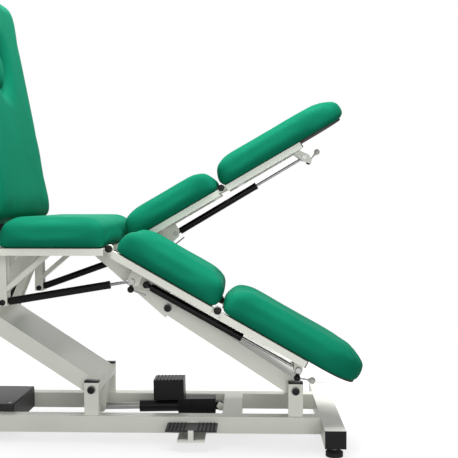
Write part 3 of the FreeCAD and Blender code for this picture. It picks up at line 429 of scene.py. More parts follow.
def cushion_slab(low, high, radii):
    """A slab with one radius per plan corner: low X low Y, high X low Y, high X high Y, low X high Y."""
    low = Vector(low) + Vector((SWELL / 2, SWELL / 2, 0))
    high = Vector(high) - Vector((SWELL / 2, SWELL / 2, SWELL))
    deselect_all()
    bpy.ops.mesh.primitive_cube_add(size=1)
    obj = bpy.context.object
    set_in_place(obj, Matrix.Translation((low + high) / 2) @ Matrix.Diagonal((*(high - low), 1)))
    bpy.ops.object.mode_set(mode="EDIT")
    corners = ((low.x, low.y), (high.x, low.y), (high.x, high.y), (low.x, high.y))
    for (x, y), radius in zip(corners, radii):
        pick_edges(obj, lambda co: same(co.x, x) and same(co.y, y))
        bpy.ops.mesh.bevel(offset=radius, segments=CORNER_CUTS, affect="EDGES")
    pick_edges(obj, lambda co: same(co.z, high.z))
    bpy.ops.mesh.bevel(offset=RIM_R, segments=RIM_CUTS, affect="EDGES", clamp_overlap=True)
    pick_edges(obj, lambda co: same(co.z, low.z))
    bpy.ops.mesh.bevel(offset=HEM_R, segments=HEM_CUTS, affect="EDGES", clamp_overlap=True)
    bpy.ops.object.mode_set(mode="OBJECT")
    return obj


print("a slab has", CORNER_CUTS, "cuts round each plan corner and", RIM_CUTS, "over its rim")

# %% [markdown]
# Foam rounds itself far more than a bevel does, and most of all at the top. A Smooth modifier weighted by
# height does that: nothing moves at the hem, everything moves at the crown. A grid is its spacing and the
# rounds of smoothing that suit it: the backrest is large, so it has wider spacing and fewer rounds.

# %% soften the foam
GRID = (6 * MM, 130)
LARGE_GRID = (7.3 * MM, 88)
FIRST_ROUNDS = 4
SMOOTH_SHARE = 0.5
SOFT_FROM = 6 * MM
SOFT_FULL = 44 * MM


def soften(obj, low, grid):
    voxel, rounds = grid
    apply_modifier(obj, "REMESH", mode="VOXEL", voxel_size=voxel)
    apply_modifier(obj, "SMOOTH", iterations=FIRST_ROUNDS, factor=SMOOTH_SHARE)
    group = obj.vertex_groups.new(name="soft")
    for vert in obj.data.vertices:
        share = (vert.co.z - low - SOFT_FROM) / (SOFT_FULL - SOFT_FROM)
        group.add([vert.index], min(1, max(0, share)), "REPLACE")
    apply_modifier(obj, "SMOOTH", iterations=rounds, factor=SMOOTH_SHARE, vertex_group="soft")
    obj.vertex_groups.clear()


print("foam softened on grids of", GRID[0], "and", LARGE_GRID[0])

# %% [markdown]
# The simulation runs for twenty frames with pressure inside and no weight. Points near the hem are held.
# How far a point may move is capped, and the result is smoothed, since stretched vinyl shows no lumps.

# %% blow up the cover
PRESSURE = 4.0
FRAMES = 20
SWELL_CAP = 6 * MM
EVEN_ROUNDS = 24


def blow_up(obj, held, cap):
    """Swells a closed cover under pressure; held points stay, and no point moves further than the cap."""
    group = obj.vertex_groups.new(name="held")
    group.add([vert.index for vert in obj.data.vertices if held(vert.co)], 1.0, "REPLACE")
    before = [vert.co.copy() for vert in obj.data.vertices]
    cloth = obj.modifiers.new("Cloth", "CLOTH")
    cloth.settings.quality = 4
    cloth.settings.mass = 0.4
    cloth.settings.tension_stiffness = 25
    cloth.settings.compression_stiffness = 25
    cloth.settings.bending_stiffness = 2.0
    cloth.settings.use_pressure = True
    cloth.settings.uniform_pressure_force = PRESSURE
    cloth.settings.vertex_group_mass = "held"
    cloth.settings.effector_weights.gravity = 0
    cloth.collision_settings.use_collision = False
    cloth.point_cache.frame_start = 1
    cloth.point_cache.frame_end = FRAMES
    for step in range(1, FRAMES + 1):
        bpy.context.scene.frame_set(step)
    take_up(obj)
    bpy.ops.object.modifier_apply(modifier=cloth.name)
    bpy.context.scene.frame_set(1)
    for vert, start in zip(obj.data.vertices, before):
        step = vert.co - start
        if step.length > cap:
            vert.co = start + step * (cap / step.length)
    obj.vertex_groups.clear()


def plain_height(co):
    return co.z


def stuffed(obj, held, cap, low, height=plain_height, grid=GRID):
    soften(obj, low, grid)
    for vert in obj.data.vertices:
        vert.co.z = height(vert.co)
    blow_up(obj, held, cap)
    apply_modifier(obj, "SMOOTH", iterations=EVEN_ROUNDS, factor=SMOOTH_SHARE)
    apply_modifier(obj, "SUBSURF", levels=1, render_levels=1)
    shade(obj, 80)


print("cover pressure", PRESSURE, "for", FRAMES, "frames")

# %% [markdown]
# ### Seat, thigh and calf cushions
# Each leg is a thigh and a calf section. The calf ends are half-round in plan, which is what makes the toes
# look blunt from the side. Each cushion could be drawn in place, tilted as it stands; here it is made level
# at the origin, where low and high are plain numbers, and then turned about its hinge.

# %% one cushion
HEM_HELD = 14 * MM


def make_cushion(name, body, low, high, radii, place, replaced, height=plain_height):
    obj = cushion_slab(low, high, radii)
    stuffed(obj, lambda co: co.z < low[2] + HEM_HELD, SWELL_CAP, low[2], height)
    set_in_place(obj, place)
    hand_over(obj, name, body, VINYL, [replaced])


print("hems are held for", HEM_HELD)

# %% seat cushion
SEAT_REAR = -326 * MM
SEAT_TOP = 88 * MM
HINGE_GAP = 10 * MM
ROUND = (CORNER_R,) * 4
make_cushion(
    "seat_pad", "carriage", (SEAT_REAR, -HALF_W, PAD_BOTTOM), (-HINGE_GAP, HALF_W, SEAT_TOP), ROUND,
    tilted(leg_axis, 0), "seat_cushion",
)

# %% [markdown]
# The two legs are mirror images, so one list of corners serves both. Under each toe the cover is pulled up
# round the end of the board. A lattice could do that; a rule for a point's height is shorter.

# %% leg cushions
THIGH_L = 353 * MM
CALF_L = {"near": 467 * MM, "far": 480 * MM}
KNEE_GAP = 4 * MM
TOE_R = 138 * MM
TILT = {"near": -29.5, "far": 30.2}
SIDE = {"near": -1, "far": 1}
TOE = (CORNER_R, TOE_R, TOE_R, CORNER_R)
TOE_FROM = 425 * MM
TOE_RISE = 13 * MM


def toe_height(co):
    """The cover is pulled up under the toe: a point's new height, with the crown left as it is."""
    along = max(0, (co.x - TOE_FROM) / (CALF_L["far"] - TOE_FROM))
    depth = max(0, 1 - (co.z - PAD_BOTTOM) / (PAD_TOP - PAD_BOTTOM))
    return co.z + TOE_RISE * depth * along ** 2


for leg, side in SIDE.items():
    y0, y1 = sorted((side * LEG_INNER, side * HALF_W))
    make_cushion(
        leg + "_thigh_pad", leg + "_thigh", (HINGE_GAP, y0, PAD_BOTTOM), (THIGH_L - KNEE_GAP, y1, PAD_TOP),
        ROUND, tilted(leg_axis, TILT[leg]), leg + "_thigh_cushion",
    )
    make_cushion(
        leg + "_calf_pad", leg + "_calf", (KNEE_GAP, y0, PAD_BOTTOM), (CALF_L[leg], y1, PAD_TOP), TOE,
        tilted(hinge_at(leg + "_calf"), TILT[leg]), leg + "_calf_cushion", toe_height,
    )

# %% [markdown]
# ### Backrest and its face plug
# The backrest has an oval hole for lying face down, filled by a loose plug. The hole could be bridged by
# hand between two ovals; a Boolean with an oval cutter is quicker and the remesh that follows cleans it up.
# The rim of the hole is held during the simulation, so the plug keeps its room.

# %% oval blocks
PLUG_X = -518 * MM
PLUG_HALF_L = 85 * MM
PLUG_HALF_W = 60 * MM
PLUG_GAP = 3.6 * MM
OVAL_SIDES = 72
PLUG_CUTS = 6


def oval_block(half_l, half_w, low_z, high_z, rim):
    """An upright oval block, with its upper rim bevelled in edit mode where a rim is asked for."""
    deselect_all()
    bpy.ops.mesh.primitive_cylinder_add(vertices=OVAL_SIDES, radius=1, depth=1)
    obj = bpy.context.object
    size = Matrix.Diagonal((half_l, half_w, high_z - low_z, 1))
    set_in_place(obj, Matrix.Translation((PLUG_X, 0, (low_z + high_z) / 2)) @ size)
    if rim > 0:
        bpy.ops.object.mode_set(mode="EDIT")
        pick_edges(obj, lambda co: same(co.z, high_z))
        bpy.ops.mesh.bevel(offset=rim, segments=PLUG_CUTS, affect="EDGES")
        bpy.ops.object.mode_set(mode="OBJECT")
    return obj


print("the plug is", 2 * PLUG_HALF_L, "by", 2 * PLUG_HALF_W)

# %% backrest cushion
BACK_TILT = -79.0
BACK_FRONT = 42 * MM
BACK_REAR = -54.6 * MM
BACK_END = -8 * MM
BACK_FAR = -788 * MM
HOLE_HELD = 1.25
CUT_PAST = 50 * MM
BACK_PLACE = tilted(hinge_at("backrest"), BACK_TILT)


def backrest_held(co):
    reach = math.hypot((co.x - PLUG_X) / PLUG_HALF_L, co.y / PLUG_HALF_W)
    return co.z < BACK_REAR + HEM_HELD or reach < HOLE_HELD


backrest = cushion_slab((BACK_FAR, -HALF_W, BACK_REAR), (BACK_END, HALF_W, BACK_FRONT), ROUND)
hole = (PLUG_HALF_L + PLUG_GAP, PLUG_HALF_W + PLUG_GAP)
cutter = oval_block(*hole, BACK_REAR - CUT_PAST, BACK_FRONT + CUT_PAST, 0)
apply_modifier(backrest, "BOOLEAN", operation="DIFFERENCE", object=cutter, solver="EXACT")
bpy.data.objects.remove(cutter)
stuffed(backrest, backrest_held, SWELL_CAP, BACK_REAR, grid=LARGE_GRID)
set_in_place(backrest, BACK_PLACE)
hand_over(backrest, "backrest_pad", "backrest", VINYL, ["backrest_cushion"])

# %% [markdown]
# The plug is the piece of foam that the hole leaves, in its own cover. It could be cut from the same slab;
# a block of its own can be a little smaller than the hole, and only its face is left free to swell.

# %% face plug
PLUG_REAR = -42.5 * MM
PLUG_RIM = 16 * MM
PLUG_SHY = 1 * MM
PLUG_FREE = 4 * MM
PLUG_SWELL_CAP = 1 * MM
PLUG_CORE = 30 * MM
plug_size = (PLUG_HALF_L - PLUG_SHY, PLUG_HALF_W - PLUG_SHY)
plug = oval_block(*plug_size, PLUG_REAR, BACK_FRONT - PLUG_SHY, PLUG_RIM)
stuffed(plug, lambda co: co.z < BACK_FRONT - PLUG_FREE, PLUG_SWELL_CAP, PLUG_REAR + PLUG_CORE)
set_in_place(plug, BACK_PLACE)
hand_over(plug, "face_hole_plug", "face_plug", VINYL, ["face_plug"])

# %% [markdown]
# ## Release levers
# A lever is a ring round the spring's bolt, a thin bent rod and moulded ball knobs. Bars are cylinders
# whose end rims are chamfered in edit mode, as a lathe would leave them; a curve with a bevel could do the
# rod, but its ends would need capping.

# %% turned bars
END_CUTS = 3
END_STEP = 0.3


def turned_bar(a, b, radius, chamfer, segments=32):
    """A round bar from a to b with chamfered ends and a flat inset ring on each end face."""
    line = Vector(b) - Vector(a)
    half = line.length / 2
    deselect_all()
    bpy.ops.mesh.primitive_cylinder_add(vertices=segments, radius=radius, depth=line.length)
    obj = bpy.context.object
    bpy.ops.object.mode_set(mode="EDIT")
    pick_edges(obj, lambda co: same(abs(co.z), half))
    bpy.ops.mesh.bevel(offset=chamfer, segments=END_CUTS, affect="EDGES")
    pick_faces(obj, lambda middle, normal: abs(normal.z) > SQUARE_ON and same(abs(middle.z), half))
    bpy.ops.mesh.inset(thickness=radius * END_STEP)
    bpy.ops.object.mode_set(mode="OBJECT")
    return set_in_place(obj, Matrix.Translation((Vector(a) + Vector(b)) / 2) @ facing(line))


print("bars are turned between two points")

# %% [markdown]
# A ball knob is moulded round a threaded insert, so it has a short collar where the rod goes in. Starting
# from a sphere, the cap of faces round one pole is extruded along the rod, drawn in and flattened. Joining
# a cylinder to a ball would do too, but would leave faces inside.

# %% ball knobs
BALL_SIDES, BALL_RINGS = 40, 24
COLLAR_SHARE = 0.86
COLLAR_REACH = 1.32
COLLAR_RISE = 0.3
COLLAR_TAPER = 0.86


def ball_knob(centre, radius, rod_from):
    """A ball with a collar on the side from which its rod comes."""
    deselect_all()
    bpy.ops.mesh.primitive_uv_sphere_add(segments=BALL_SIDES, ring_count=BALL_RINGS, radius=radius)
    obj = bpy.context.object
    bpy.ops.object.mode_set(mode="EDIT")
    pick_faces(obj, lambda middle, normal: middle.z > radius * COLLAR_SHARE)
    bpy.ops.mesh.extrude_region_move(TRANSFORM_OT_translate={"value": (0, 0, radius * COLLAR_RISE)})
    flat = (0, 0, radius * COLLAR_REACH)
    bpy.ops.transform.resize(value=(COLLAR_TAPER, COLLAR_TAPER, 0), center_override=flat)
    bpy.ops.object.mode_set(mode="OBJECT")
    towards = Vector(rod_from) - Vector(centre)
    set_in_place(obj, Matrix.Translation(centre) @ facing(towards))
    shade(obj, 50)
    return obj


print("knob collars reach", COLLAR_REACH, "radii")

# %% [markdown]
# A lever's rod is bent in one plane. It is drawn flat at the origin as a path of points, one bar for each
# stretch, and then turned with its leg and moved to its bolt, which keeps the path easy to read.

# %% lever assembly
RING_OFF = 8.5 * MM
RING_R = 8.9 * MM
RING_T = 6 * MM
RING_CHAMFER = 1 * MM
ROD_R = 2.4 * MM
ROD_CHAMFER = 0.8 * MM
ROD_SIDES = 20


def make_lever(prefix, body, pivot, tilt, out, points, knobs, node):
    """A ring at its bolt, a bent rod through the given points, and a knob at some of them."""
    place = Matrix.Translation(pivot) @ Matrix.Rotation(math.radians(-tilt), 4, "Y")
    middle = Vector((0, out * RING_OFF, 0))
    half = Vector((0, RING_T / 2, 0))
    path = [middle] + [middle + Vector((x, 0, z)) for x, z in points]
    bars = [turned_bar(middle - half, middle + half, RING_R, RING_CHAMFER)]
    bars += [turned_bar(a, b, ROD_R, ROD_CHAMFER, ROD_SIDES) for a, b in zip(path, path[1:])]
    arm = joined(bars)
    arm.data.transform(place)
    shade(arm)
    hand_over(arm, prefix + "_arm", body, STEEL, [node])
    for label, step, radius, material in knobs:
        knob = ball_knob(path[step], radius, path[step - 1])
        knob.data.transform(place)
        hand_over(knob, prefix + "_" + label, body, material)


print("lever rods", 2 * ROD_R, "thick on rings", 2 * RING_R, "across")

# %% [markdown]
# There are five levers: one on each leg spring and one behind the backrest. A thigh lever has one knob, a
# calf lever a black knob and a grey tip. Far levers face the other way, as the legs are mirror images.

# %% the five levers
KNOB_R = 9.8 * MM
BACK_KNOB_R = 13.8 * MM
THIGH_PATH = ((8 * MM, -22 * MM), (55 * MM, -15 * MM))
CALF_PATH = ((8 * MM, -21 * MM), (50 * MM, -6 * MM))
BACK_PATH = ((-70 * MM, -20 * MM),)
BACK_RING_OFF = Vector((0, -13 * MM, 0))
for leg, side in SIDE.items():
    make_lever(
        leg + "_thigh_release", leg + "_thigh_lever", hinge_at(leg + "_thigh_release"), TILT[leg], side,
        THIGH_PATH, [("knob", 1, KNOB_R, BLACK)], leg + "_thigh_lever",
    )
    make_lever(
        leg + "_calf_release", leg + "_calf_lever", hinge_at(leg + "_calf_release"), TILT[leg], side,
        CALF_PATH, [("knob", 1, KNOB_R, BLACK), ("tip", 2, KNOB_R, GREY)], leg + "_calf_lever",
    )
make_lever(
    "backrest_release", "backrest_lever", hinge_at("backrest_release") + BACK_RING_OFF, BACK_TILT, -1,
    BACK_PATH, [("knob", 1, BACK_KNOB_R, BLACK)], "backrest_lever",
)

# %% [markdown]
# ## Spring end rings
# Each gas spring has a pressed ring round its mouth, where the piston rod slides. It is a short cylinder
# with a lip: both end faces are inset and bridged, which drills the hole and leaves a closed ring. A
# Boolean would drill it too, but with ragged faces.

# %% model a ring
RING_SIDES = 40
RING_EDGE = 1 * MM
RING_CUTS = 3


def pressed_ring(outer, inner, length):
    """A ring along Z from 0 to its length, with bevelled rims and a hole through it."""
    deselect_all()
    bpy.ops.mesh.primitive_cylinder_add(vertices=RING_SIDES, radius=outer, depth=length)
    obj = bpy.context.object
    bpy.ops.object.mode_set(mode="EDIT")
    pick_edges(obj, lambda co: same(abs(co.z), length / 2))
    bpy.ops.mesh.bevel(offset=RING_EDGE, segments=RING_CUTS, affect="EDGES")
    pick_faces(obj, lambda middle, normal: abs(normal.z) > SQUARE_ON and same(abs(middle.z), length / 2))
    bpy.ops.mesh.inset(thickness=outer - RING_EDGE - inner)
    bpy.ops.mesh.bridge_edge_loops()
    bpy.ops.mesh.select_all(action="SELECT")
    bpy.ops.mesh.normals_make_consistent(inside=False)
    bpy.ops.object.mode_set(mode="OBJECT")
    set_in_place(obj, Matrix.Translation((0, 0, length / 2)))
    shade(obj, 40)
    return obj


print("rings have", RING_SIDES, "sides")

# %% [markdown]
# A rod leans a little at the ends of its travel, most in the backrest and least in a calf, so each hole
# leaves that room. A ring sits on its tube, along the line from the tube's bolt to the rod's.

# %% rings on the springs
RING_L = 9 * MM
RING_ON = 7 * MM
LIP = 0.5 * MM
LENGTH_RADIUS_HOLE = {
    "thigh": (318 * MM, 11.5 * MM, 10.2 * MM),
    "calf": (320 * MM, 11.5 * MM, 5.8 * MM),
    "backrest": (350 * MM, 20 * MM, 16.9 * MM),
}
SPRINGS = ["near_thigh", "far_thigh", "near_calf", "far_calf", "backrest"]
for spring in SPRINGS:
    tube_l, tube_r, hole_r = LENGTH_RADIUS_HOLE[spring.split("_")[-1]]
    foot = hinge_at(spring + "_tube_swing")
    line = hinge_at(spring + "_rod_swing") - foot
    line.normalize()
    ring = pressed_ring(tube_r + LIP, hole_r, RING_L)
    set_in_place(ring, Matrix.Translation(foot + line * (tube_l - RING_ON)) @ facing(line))
    hand_over(ring, spring + "_spring_ring", spring + "_tube", LACQUER)

# %% [markdown]
# ## Caps on pins and axles
# Push-on plastic caps cover the ends of hinge pins and axles. One cap is modelled as a short cylinder whose
# outer face is inset and pushed out to a dome. Half a ball would be quicker but too round for such a cap.

# %% model a cap
CAP_SIDES = 40
CAP_CUTS = 4
CAP_ROUND = 0.5
CAP_FLAT = 0.35
CAP_DOME = 0.06


def domed_cap(radius, thick):
    """A cap along Z, its open side at 0 and its dome on top."""
    deselect_all()
    bpy.ops.mesh.primitive_cylinder_add(vertices=CAP_SIDES, radius=radius, depth=thick)
    obj = bpy.context.object
    bpy.ops.object.mode_set(mode="EDIT")
    pick_edges(obj, lambda co: same(co.z, thick / 2))
    bpy.ops.mesh.bevel(offset=thick * CAP_ROUND, segments=CAP_CUTS, affect="EDGES")
    pick_faces(obj, lambda middle, normal: normal.z > SQUARE_ON and same(middle.z, thick / 2))
    bpy.ops.mesh.inset(thickness=radius * CAP_FLAT, depth=thick * CAP_DOME)
    bpy.ops.object.mode_set(mode="OBJECT")
    set_in_place(obj, Matrix.Translation((0, 0, thick / 2)))
    shade(obj, 60)
    return obj


def at_y(point, y, out):
    """From a cap's own frame to a pin's end at y, facing out along Y."""
    turn = Matrix.Rotation(math.radians(-90 * out), 4, "X")
    return Matrix.Translation((point.x, y, point.z)) @ turn


def both_ends(point, start):
    return [at_y(point, side * start, side) for side in (-1, 1)]


print("caps face out along Y at both ends of a pin")

# %% [markdown]
# Caps of one size come from one mould, so each size is modelled once and copied to the ends of the leg
# pins and of the four lift axles. The set on one body could be many pieces, but it never moves apart.

# %% pin and axle caps
PIN_CAP_R = 10.8 * MM
PIN_CAP_T = 5.0 * MM
OUTER_PIN = 297.8 * MM
INNER_PIN = 52.8 * MM
INNER_FACE = 27.4 * MM
AXLE_CAP_R = 12.6 * MM
AXLE_CAP_T = 8.0 * MM
UPPER_AXLE = 148.0 * MM
LOWER_AXLE = 150.0 * MM
rear_top = hinge_at("carriage_level")
front_top = rear_top + hinge_at("front_lift") - hinge_at("lift")
pin_ends = both_ends(leg_axis, OUTER_PIN) + both_ends(leg_axis, INNER_PIN)
pin_ends += [at_y(leg_axis, side * INNER_FACE, -side) for side in (-1, 1)]
pin_caps = copies(domed_cap(PIN_CAP_R, PIN_CAP_T), pin_ends)
hand_over(pin_caps, "leg_hinge_caps", "carriage", BLACK)
upper_ends = both_ends(rear_top, UPPER_AXLE) + both_ends(front_top, UPPER_AXLE)
upper_caps = copies(domed_cap(AXLE_CAP_R, AXLE_CAP_T), upper_ends)
hand_over(upper_caps, "upper_axle_caps", "carriage", BLACK)
lower_ends = both_ends(hinge_at("lift"), LOWER_AXLE) + both_ends(hinge_at("front_lift"), LOWER_AXLE)
lower_caps = copies(domed_cap(AXLE_CAP_R, AXLE_CAP_T), lower_ends)
hand_over(lower_caps, "lower_axle_caps", "base", BLACK)

# %% [markdown]
# Knee pins ride on the thigh. The bolts that hold the springs have smaller caps, on the thigh and on the
# posts under the seat. The caps of a leg could be one piece; a set for each kind is easier to find.

# %% knee and spring bolt caps
BOLT_CAP_R = 8.8 * MM
BOLT_CAP_T = 5.5 * MM
BOLT_HEAD = 13.0 * MM
POST_BOLT_HEAD = 18.0 * MM
post_ends = []
for leg, side in SIDE.items():
    knee = hinge_at(leg + "_calf")
    knee_ends = [at_y(knee, side * start, side) for start in (OUTER_PIN, INNER_PIN)]
    knee_ends.append(at_y(knee, side * INNER_FACE, -side))
    knee_caps = copies(domed_cap(PIN_CAP_R, PIN_CAP_T), knee_ends)
    hand_over(knee_caps, leg + "_knee_caps", leg + "_thigh", BLACK)
    eye = hinge_at(leg + "_calf_tube_swing")
    eye_cap = copies(domed_cap(BOLT_CAP_R, BOLT_CAP_T), [at_y(eye, eye.y + side * BOLT_HEAD, side)])
    hand_over(eye_cap, leg + "_spring_bolt_cap", leg + "_thigh", BLACK)
    foot = hinge_at(leg + "_thigh_tube_swing")
    post_ends += [at_y(foot, foot.y + out * POST_BOLT_HEAD, out) for out in (-1, 1)]
post_caps = copies(domed_cap(BOLT_CAP_R, BOLT_CAP_T), post_ends)
hand_over(post_caps, "post_bolt_caps", "carriage", BLACK)

# %% [markdown]
# ## End plugs of the tubes
# Cut tube ends are closed with black plastic plugs. A block is bevelled all round, its outer face inset and
# sunk a little, which gives the rim that such plugs have. A plain plate would look like a sticker.

# %% model a plug
BLOCK_CUTS = 3
PLATE_EDGE = 1 * MM
PLATE_RIM = 3 * MM
PLATE_SUNK = 0.8 * MM


def soft_block(low, high, edge):
    """A block between two corners with all its edges bevelled in edit mode."""
    low, high = Vector(low), Vector(high)
    deselect_all()
    bpy.ops.mesh.primitive_cube_add(size=1)
    obj = bpy.context.object
    set_in_place(obj, Matrix.Translation((low + high) / 2) @ Matrix.Diagonal((*(high - low), 1)))
    bpy.ops.object.mode_set(mode="EDIT")
    bpy.ops.mesh.select_all(action="SELECT")
    bpy.ops.mesh.bevel(offset=edge, segments=BLOCK_CUTS, affect="EDGES")
    bpy.ops.object.mode_set(mode="OBJECT")
    return obj


def tube_plug(depth, width, height):
    """A plug facing +X: a rounded plate with a sunk middle."""
    obj = soft_block((0, -width / 2, -height / 2), (depth, width / 2, height / 2), PLATE_EDGE)
    take_up(obj)
    bpy.ops.object.mode_set(mode="EDIT")
    pick_faces(obj, lambda middle, normal: normal.x > SQUARE_ON and same(middle.x, depth))
    bpy.ops.mesh.inset(thickness=PLATE_RIM, depth=-PLATE_SUNK)
    bpy.ops.object.mode_set(mode="OBJECT")
    shade(obj, 40)
    return obj


print("plugs are plates with a sunk middle")

# %% [markdown]
# Open tube ends show on the calf rails and on the base rails. A calf's are placed in its own level frame.
# The base's could be typed in too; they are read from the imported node, so they follow if it changes.

# %% plugs in the tubes
PLATE_T = 3 * MM
CALF_RAIL_END = 291 * MM
CALF_RAIL_MID = -10 * MM
CALF_RAIL_SIZE = (24 * MM, 19 * MM)
CALF_RAIL_Y = (285 * MM, 40 * MM)
BASE_RAIL_SIZE = (38 * MM, 48 * MM)
BASE_RAIL_IN = 1 * MM
for leg, side in SIDE.items():
    place = tilted(hinge_at(leg + "_calf"), TILT[leg])
    ends = [place @ Matrix.Translation((CALF_RAIL_END, side * y, CALF_RAIL_MID)) for y in CALF_RAIL_Y]
    calf_plugs = copies(tube_plug(PLATE_T, *CALF_RAIL_SIZE), ends)
    hand_over(calf_plugs, leg + "_calf_end_plugs", leg + "_calf", BLACK)
rail_low, rail_high = (Vector(v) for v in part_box("base_rails"))
rail_y = rail_high.y - BASE_RAIL_SIZE[0] / 2 - BASE_RAIL_IN
rail_z = (rail_low.z + rail_high.z) / 2
ends = []
for y in (-rail_y, rail_y):
    ends.append(Matrix.Translation((rail_high.x, y, rail_z)))
    ends.append(Matrix.Translation((rail_low.x, y, rail_z)) @ Matrix.Rotation(math.pi, 4, "Z"))
base_plugs = copies(tube_plug(PLATE_T, *BASE_RAIL_SIZE), ends)
hand_over(base_plugs, "base_end_plugs", "base", BLACK)

# %% [markdown]
# ## Fittings on the base
# The pedal has rubber ribs so that a shoe finds it, and the motor has low cooling ribs. An Array modifier
# could repeat a rib; copies at shares of the node's length fit pieces of any size.

# %% ribs
RIB_IN = 3 * MM
RIB_SUNK = 1 * MM
RIB_ROUND = 0.4


def make_ribs(name, body, node, shares, proud, width, material, slot):
    """Ribs across the top of a node, at shares of its length."""
    low, high = (Vector(v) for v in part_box(node))
    start = (-width / 2, low.y + RIB_IN, high.z - RIB_SUNK)
    end = (width / 2, high.y - RIB_IN, high.z + proud)
    rib = soft_block(start, end, proud * RIB_ROUND)
    places = [Matrix.Translation((low.x + (high.x - low.x) * share, 0, 0)) for share in shares]
    ribs = copies(rib, places)
    shade(ribs, 50)
    hand_over(ribs, name, body, material)


PEDAL_DOWN = [0.06 + 0.075 * step for step in range(5)]
PEDAL_UP = [1 - share for share in PEDAL_DOWN]
MOTOR_SHARES = [0.1 + 0.8 * step / 7 for step in range(8)]
PEDAL_RIB = (2.5 * MM, 5 * MM)
MOTOR_RIB = (1 * MM, 4 * MM)
make_ribs("pedal_ribs", "pedal", "foot_pedal", PEDAL_DOWN, *PEDAL_RIB, RUBBER, "rubber")
make_ribs("pedal_ribs_up", "pedal", "foot_pedal", PEDAL_UP, *PEDAL_RIB, RUBBER, "rubber")
make_ribs("motor_ribs", "actuator", "actuator_motor", MOTOR_SHARES, *MOTOR_RIB, BLACK, "black_plastic")

# %% [markdown]
# The feet stand on threads, held by lock nuts under the crossbars. A nut is a six-sided turned bar with its
# rims chamfered; a thread would never be seen, so there is none.

# %% lock nuts
NUT_R = 11 * MM
NUT_SIDES = 6
NUT_CHAMFER = 0.8 * MM
NUT_LOW = 19 * MM
NUT_HIGH = 29.5 * MM
FOOT_INSET = 25 * MM


def corner_places(low, high, inset, z):
    return [
        Matrix.Translation((x, y, z))
        for x in (low.x + inset, high.x - inset)
        for y in (low.y + inset, high.y - inset)
    ]


feet_low, feet_high = (Vector(v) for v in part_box("feet"))
nut = turned_bar((0, 0, 0), (0, 0, NUT_HIGH - NUT_LOW), NUT_R, NUT_CHAMFER, NUT_SIDES)
lock_nuts = copies(nut, corner_places(feet_low, feet_high, FOOT_INSET, NUT_LOW))
hand_over(lock_nuts, "foot_lock_nuts", "base", STEEL)

# %% [markdown]
# The control box is closed by a screwed lid. The lid could be part of the box with a groove cut round it; a
# block of its own, set in a little from the box's sides, throws the same thin shadow.

# %% control box lid and screws
LID_T = 5 * MM
LID_IN = 3 * MM
LID_EDGE = 2 * MM
SCREW_IN = 16 * MM
SCREW_R = 4.5 * MM
SCREW_H = 2.5 * MM
SCREW_SUNK = 1 * MM
SCREW_CHAMFER = 1 * MM
SCREW_SIDES = 24
box_low, box_high = (Vector(v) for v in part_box("control_box"))
lid_low = (box_low.x + LID_IN, box_low.y + LID_IN, box_high.z - LID_T)
lid = soft_block(lid_low, (box_high.x - LID_IN, box_high.y - LID_IN, box_high.z + LID_T), LID_EDGE)
shade(lid, 40)
hand_over(lid, "control_box_lid", "base", HOUSING)
screw = turned_bar((0, 0, 0), (0, 0, SCREW_H), SCREW_R, SCREW_CHAMFER, SCREW_SIDES)
lid_screws = copies(screw, corner_places(box_low, box_high, SCREW_IN, box_high.z + LID_T - SCREW_SUNK))
shade(lid_screws)
hand_over(lid_screws, "lid_screws", "base", STEEL)

# %% [markdown]
# The mains inlet has three flat prongs, the middle one raised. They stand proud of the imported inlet's face,
# which is simpler than hollowing the socket out, and from the head end it reads as an inlet.

# %% inlet prongs
PRONG_HALF = (1.25 * MM, 1 * MM, 2 * MM)
PRONG_EDGE = 0.4 * MM
PRONG_OUT = 0.25 * MM
PRONGS = ((-7 * MM, -2 * MM), (0, 3 * MM), (7 * MM, -2 * MM))
inlet_low, inlet_high = (Vector(v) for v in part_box("mains_inlet"))
middle = (inlet_low + inlet_high) / 2
prong = soft_block([-half for half in PRONG_HALF], PRONG_HALF, PRONG_EDGE)
spots = [Matrix.Translation((inlet_low.x - PRONG_OUT, middle.y + dy, middle.z + dz)) for dy, dz in PRONGS]
inlet_prongs = copies(prong, spots)
hand_over(inlet_prongs, "inlet_prongs", "base", STEEL)

# %% [markdown]
# ## Camera
# The picture was taken from the table's near side, a little above the seat, with a long lens, so upright
# lines stay upright. A camera can be set by eye; this one was fitted to hinges and corners found in the
# picture, so that lengths along the legs come out right.

# %% camera
CAMERA_FROM_HINGE = Vector((0.399, -2.436, 0.131))
CAMERA_YAW = 1.6
CAMERA_PITCH = -2.0
LENS = 60.1
SENSOR_W = 36
camera_data = bpy.data.cameras.new("camera")
camera_data.lens = LENS
camera_data.sensor_width = SENSOR_W
camera_data.sensor_fit = "HORIZONTAL"
camera = bpy.data.objects.new("camera", camera_data)
bpy.context.scene.collection.objects.link(camera)
camera.location = Vector((leg_axis.x, 0, leg_axis.z)) + CAMERA_FROM_HINGE
camera.rotation_euler = (math.radians(90 + CAMERA_PITCH), 0, math.radians(CAMERA_YAW))
bpy.context.scene.camera = camera
print("camera at", tuple(round(v, 3) for v in camera.location))

# %% [markdown]
# ## Light
# Soft studio light: a big lamp overhead makes the bright tops, a weaker one in front opens the sides, and
# one behind lifts the far side. Small lamps would give hard glints that vinyl on a photo stage never shows.

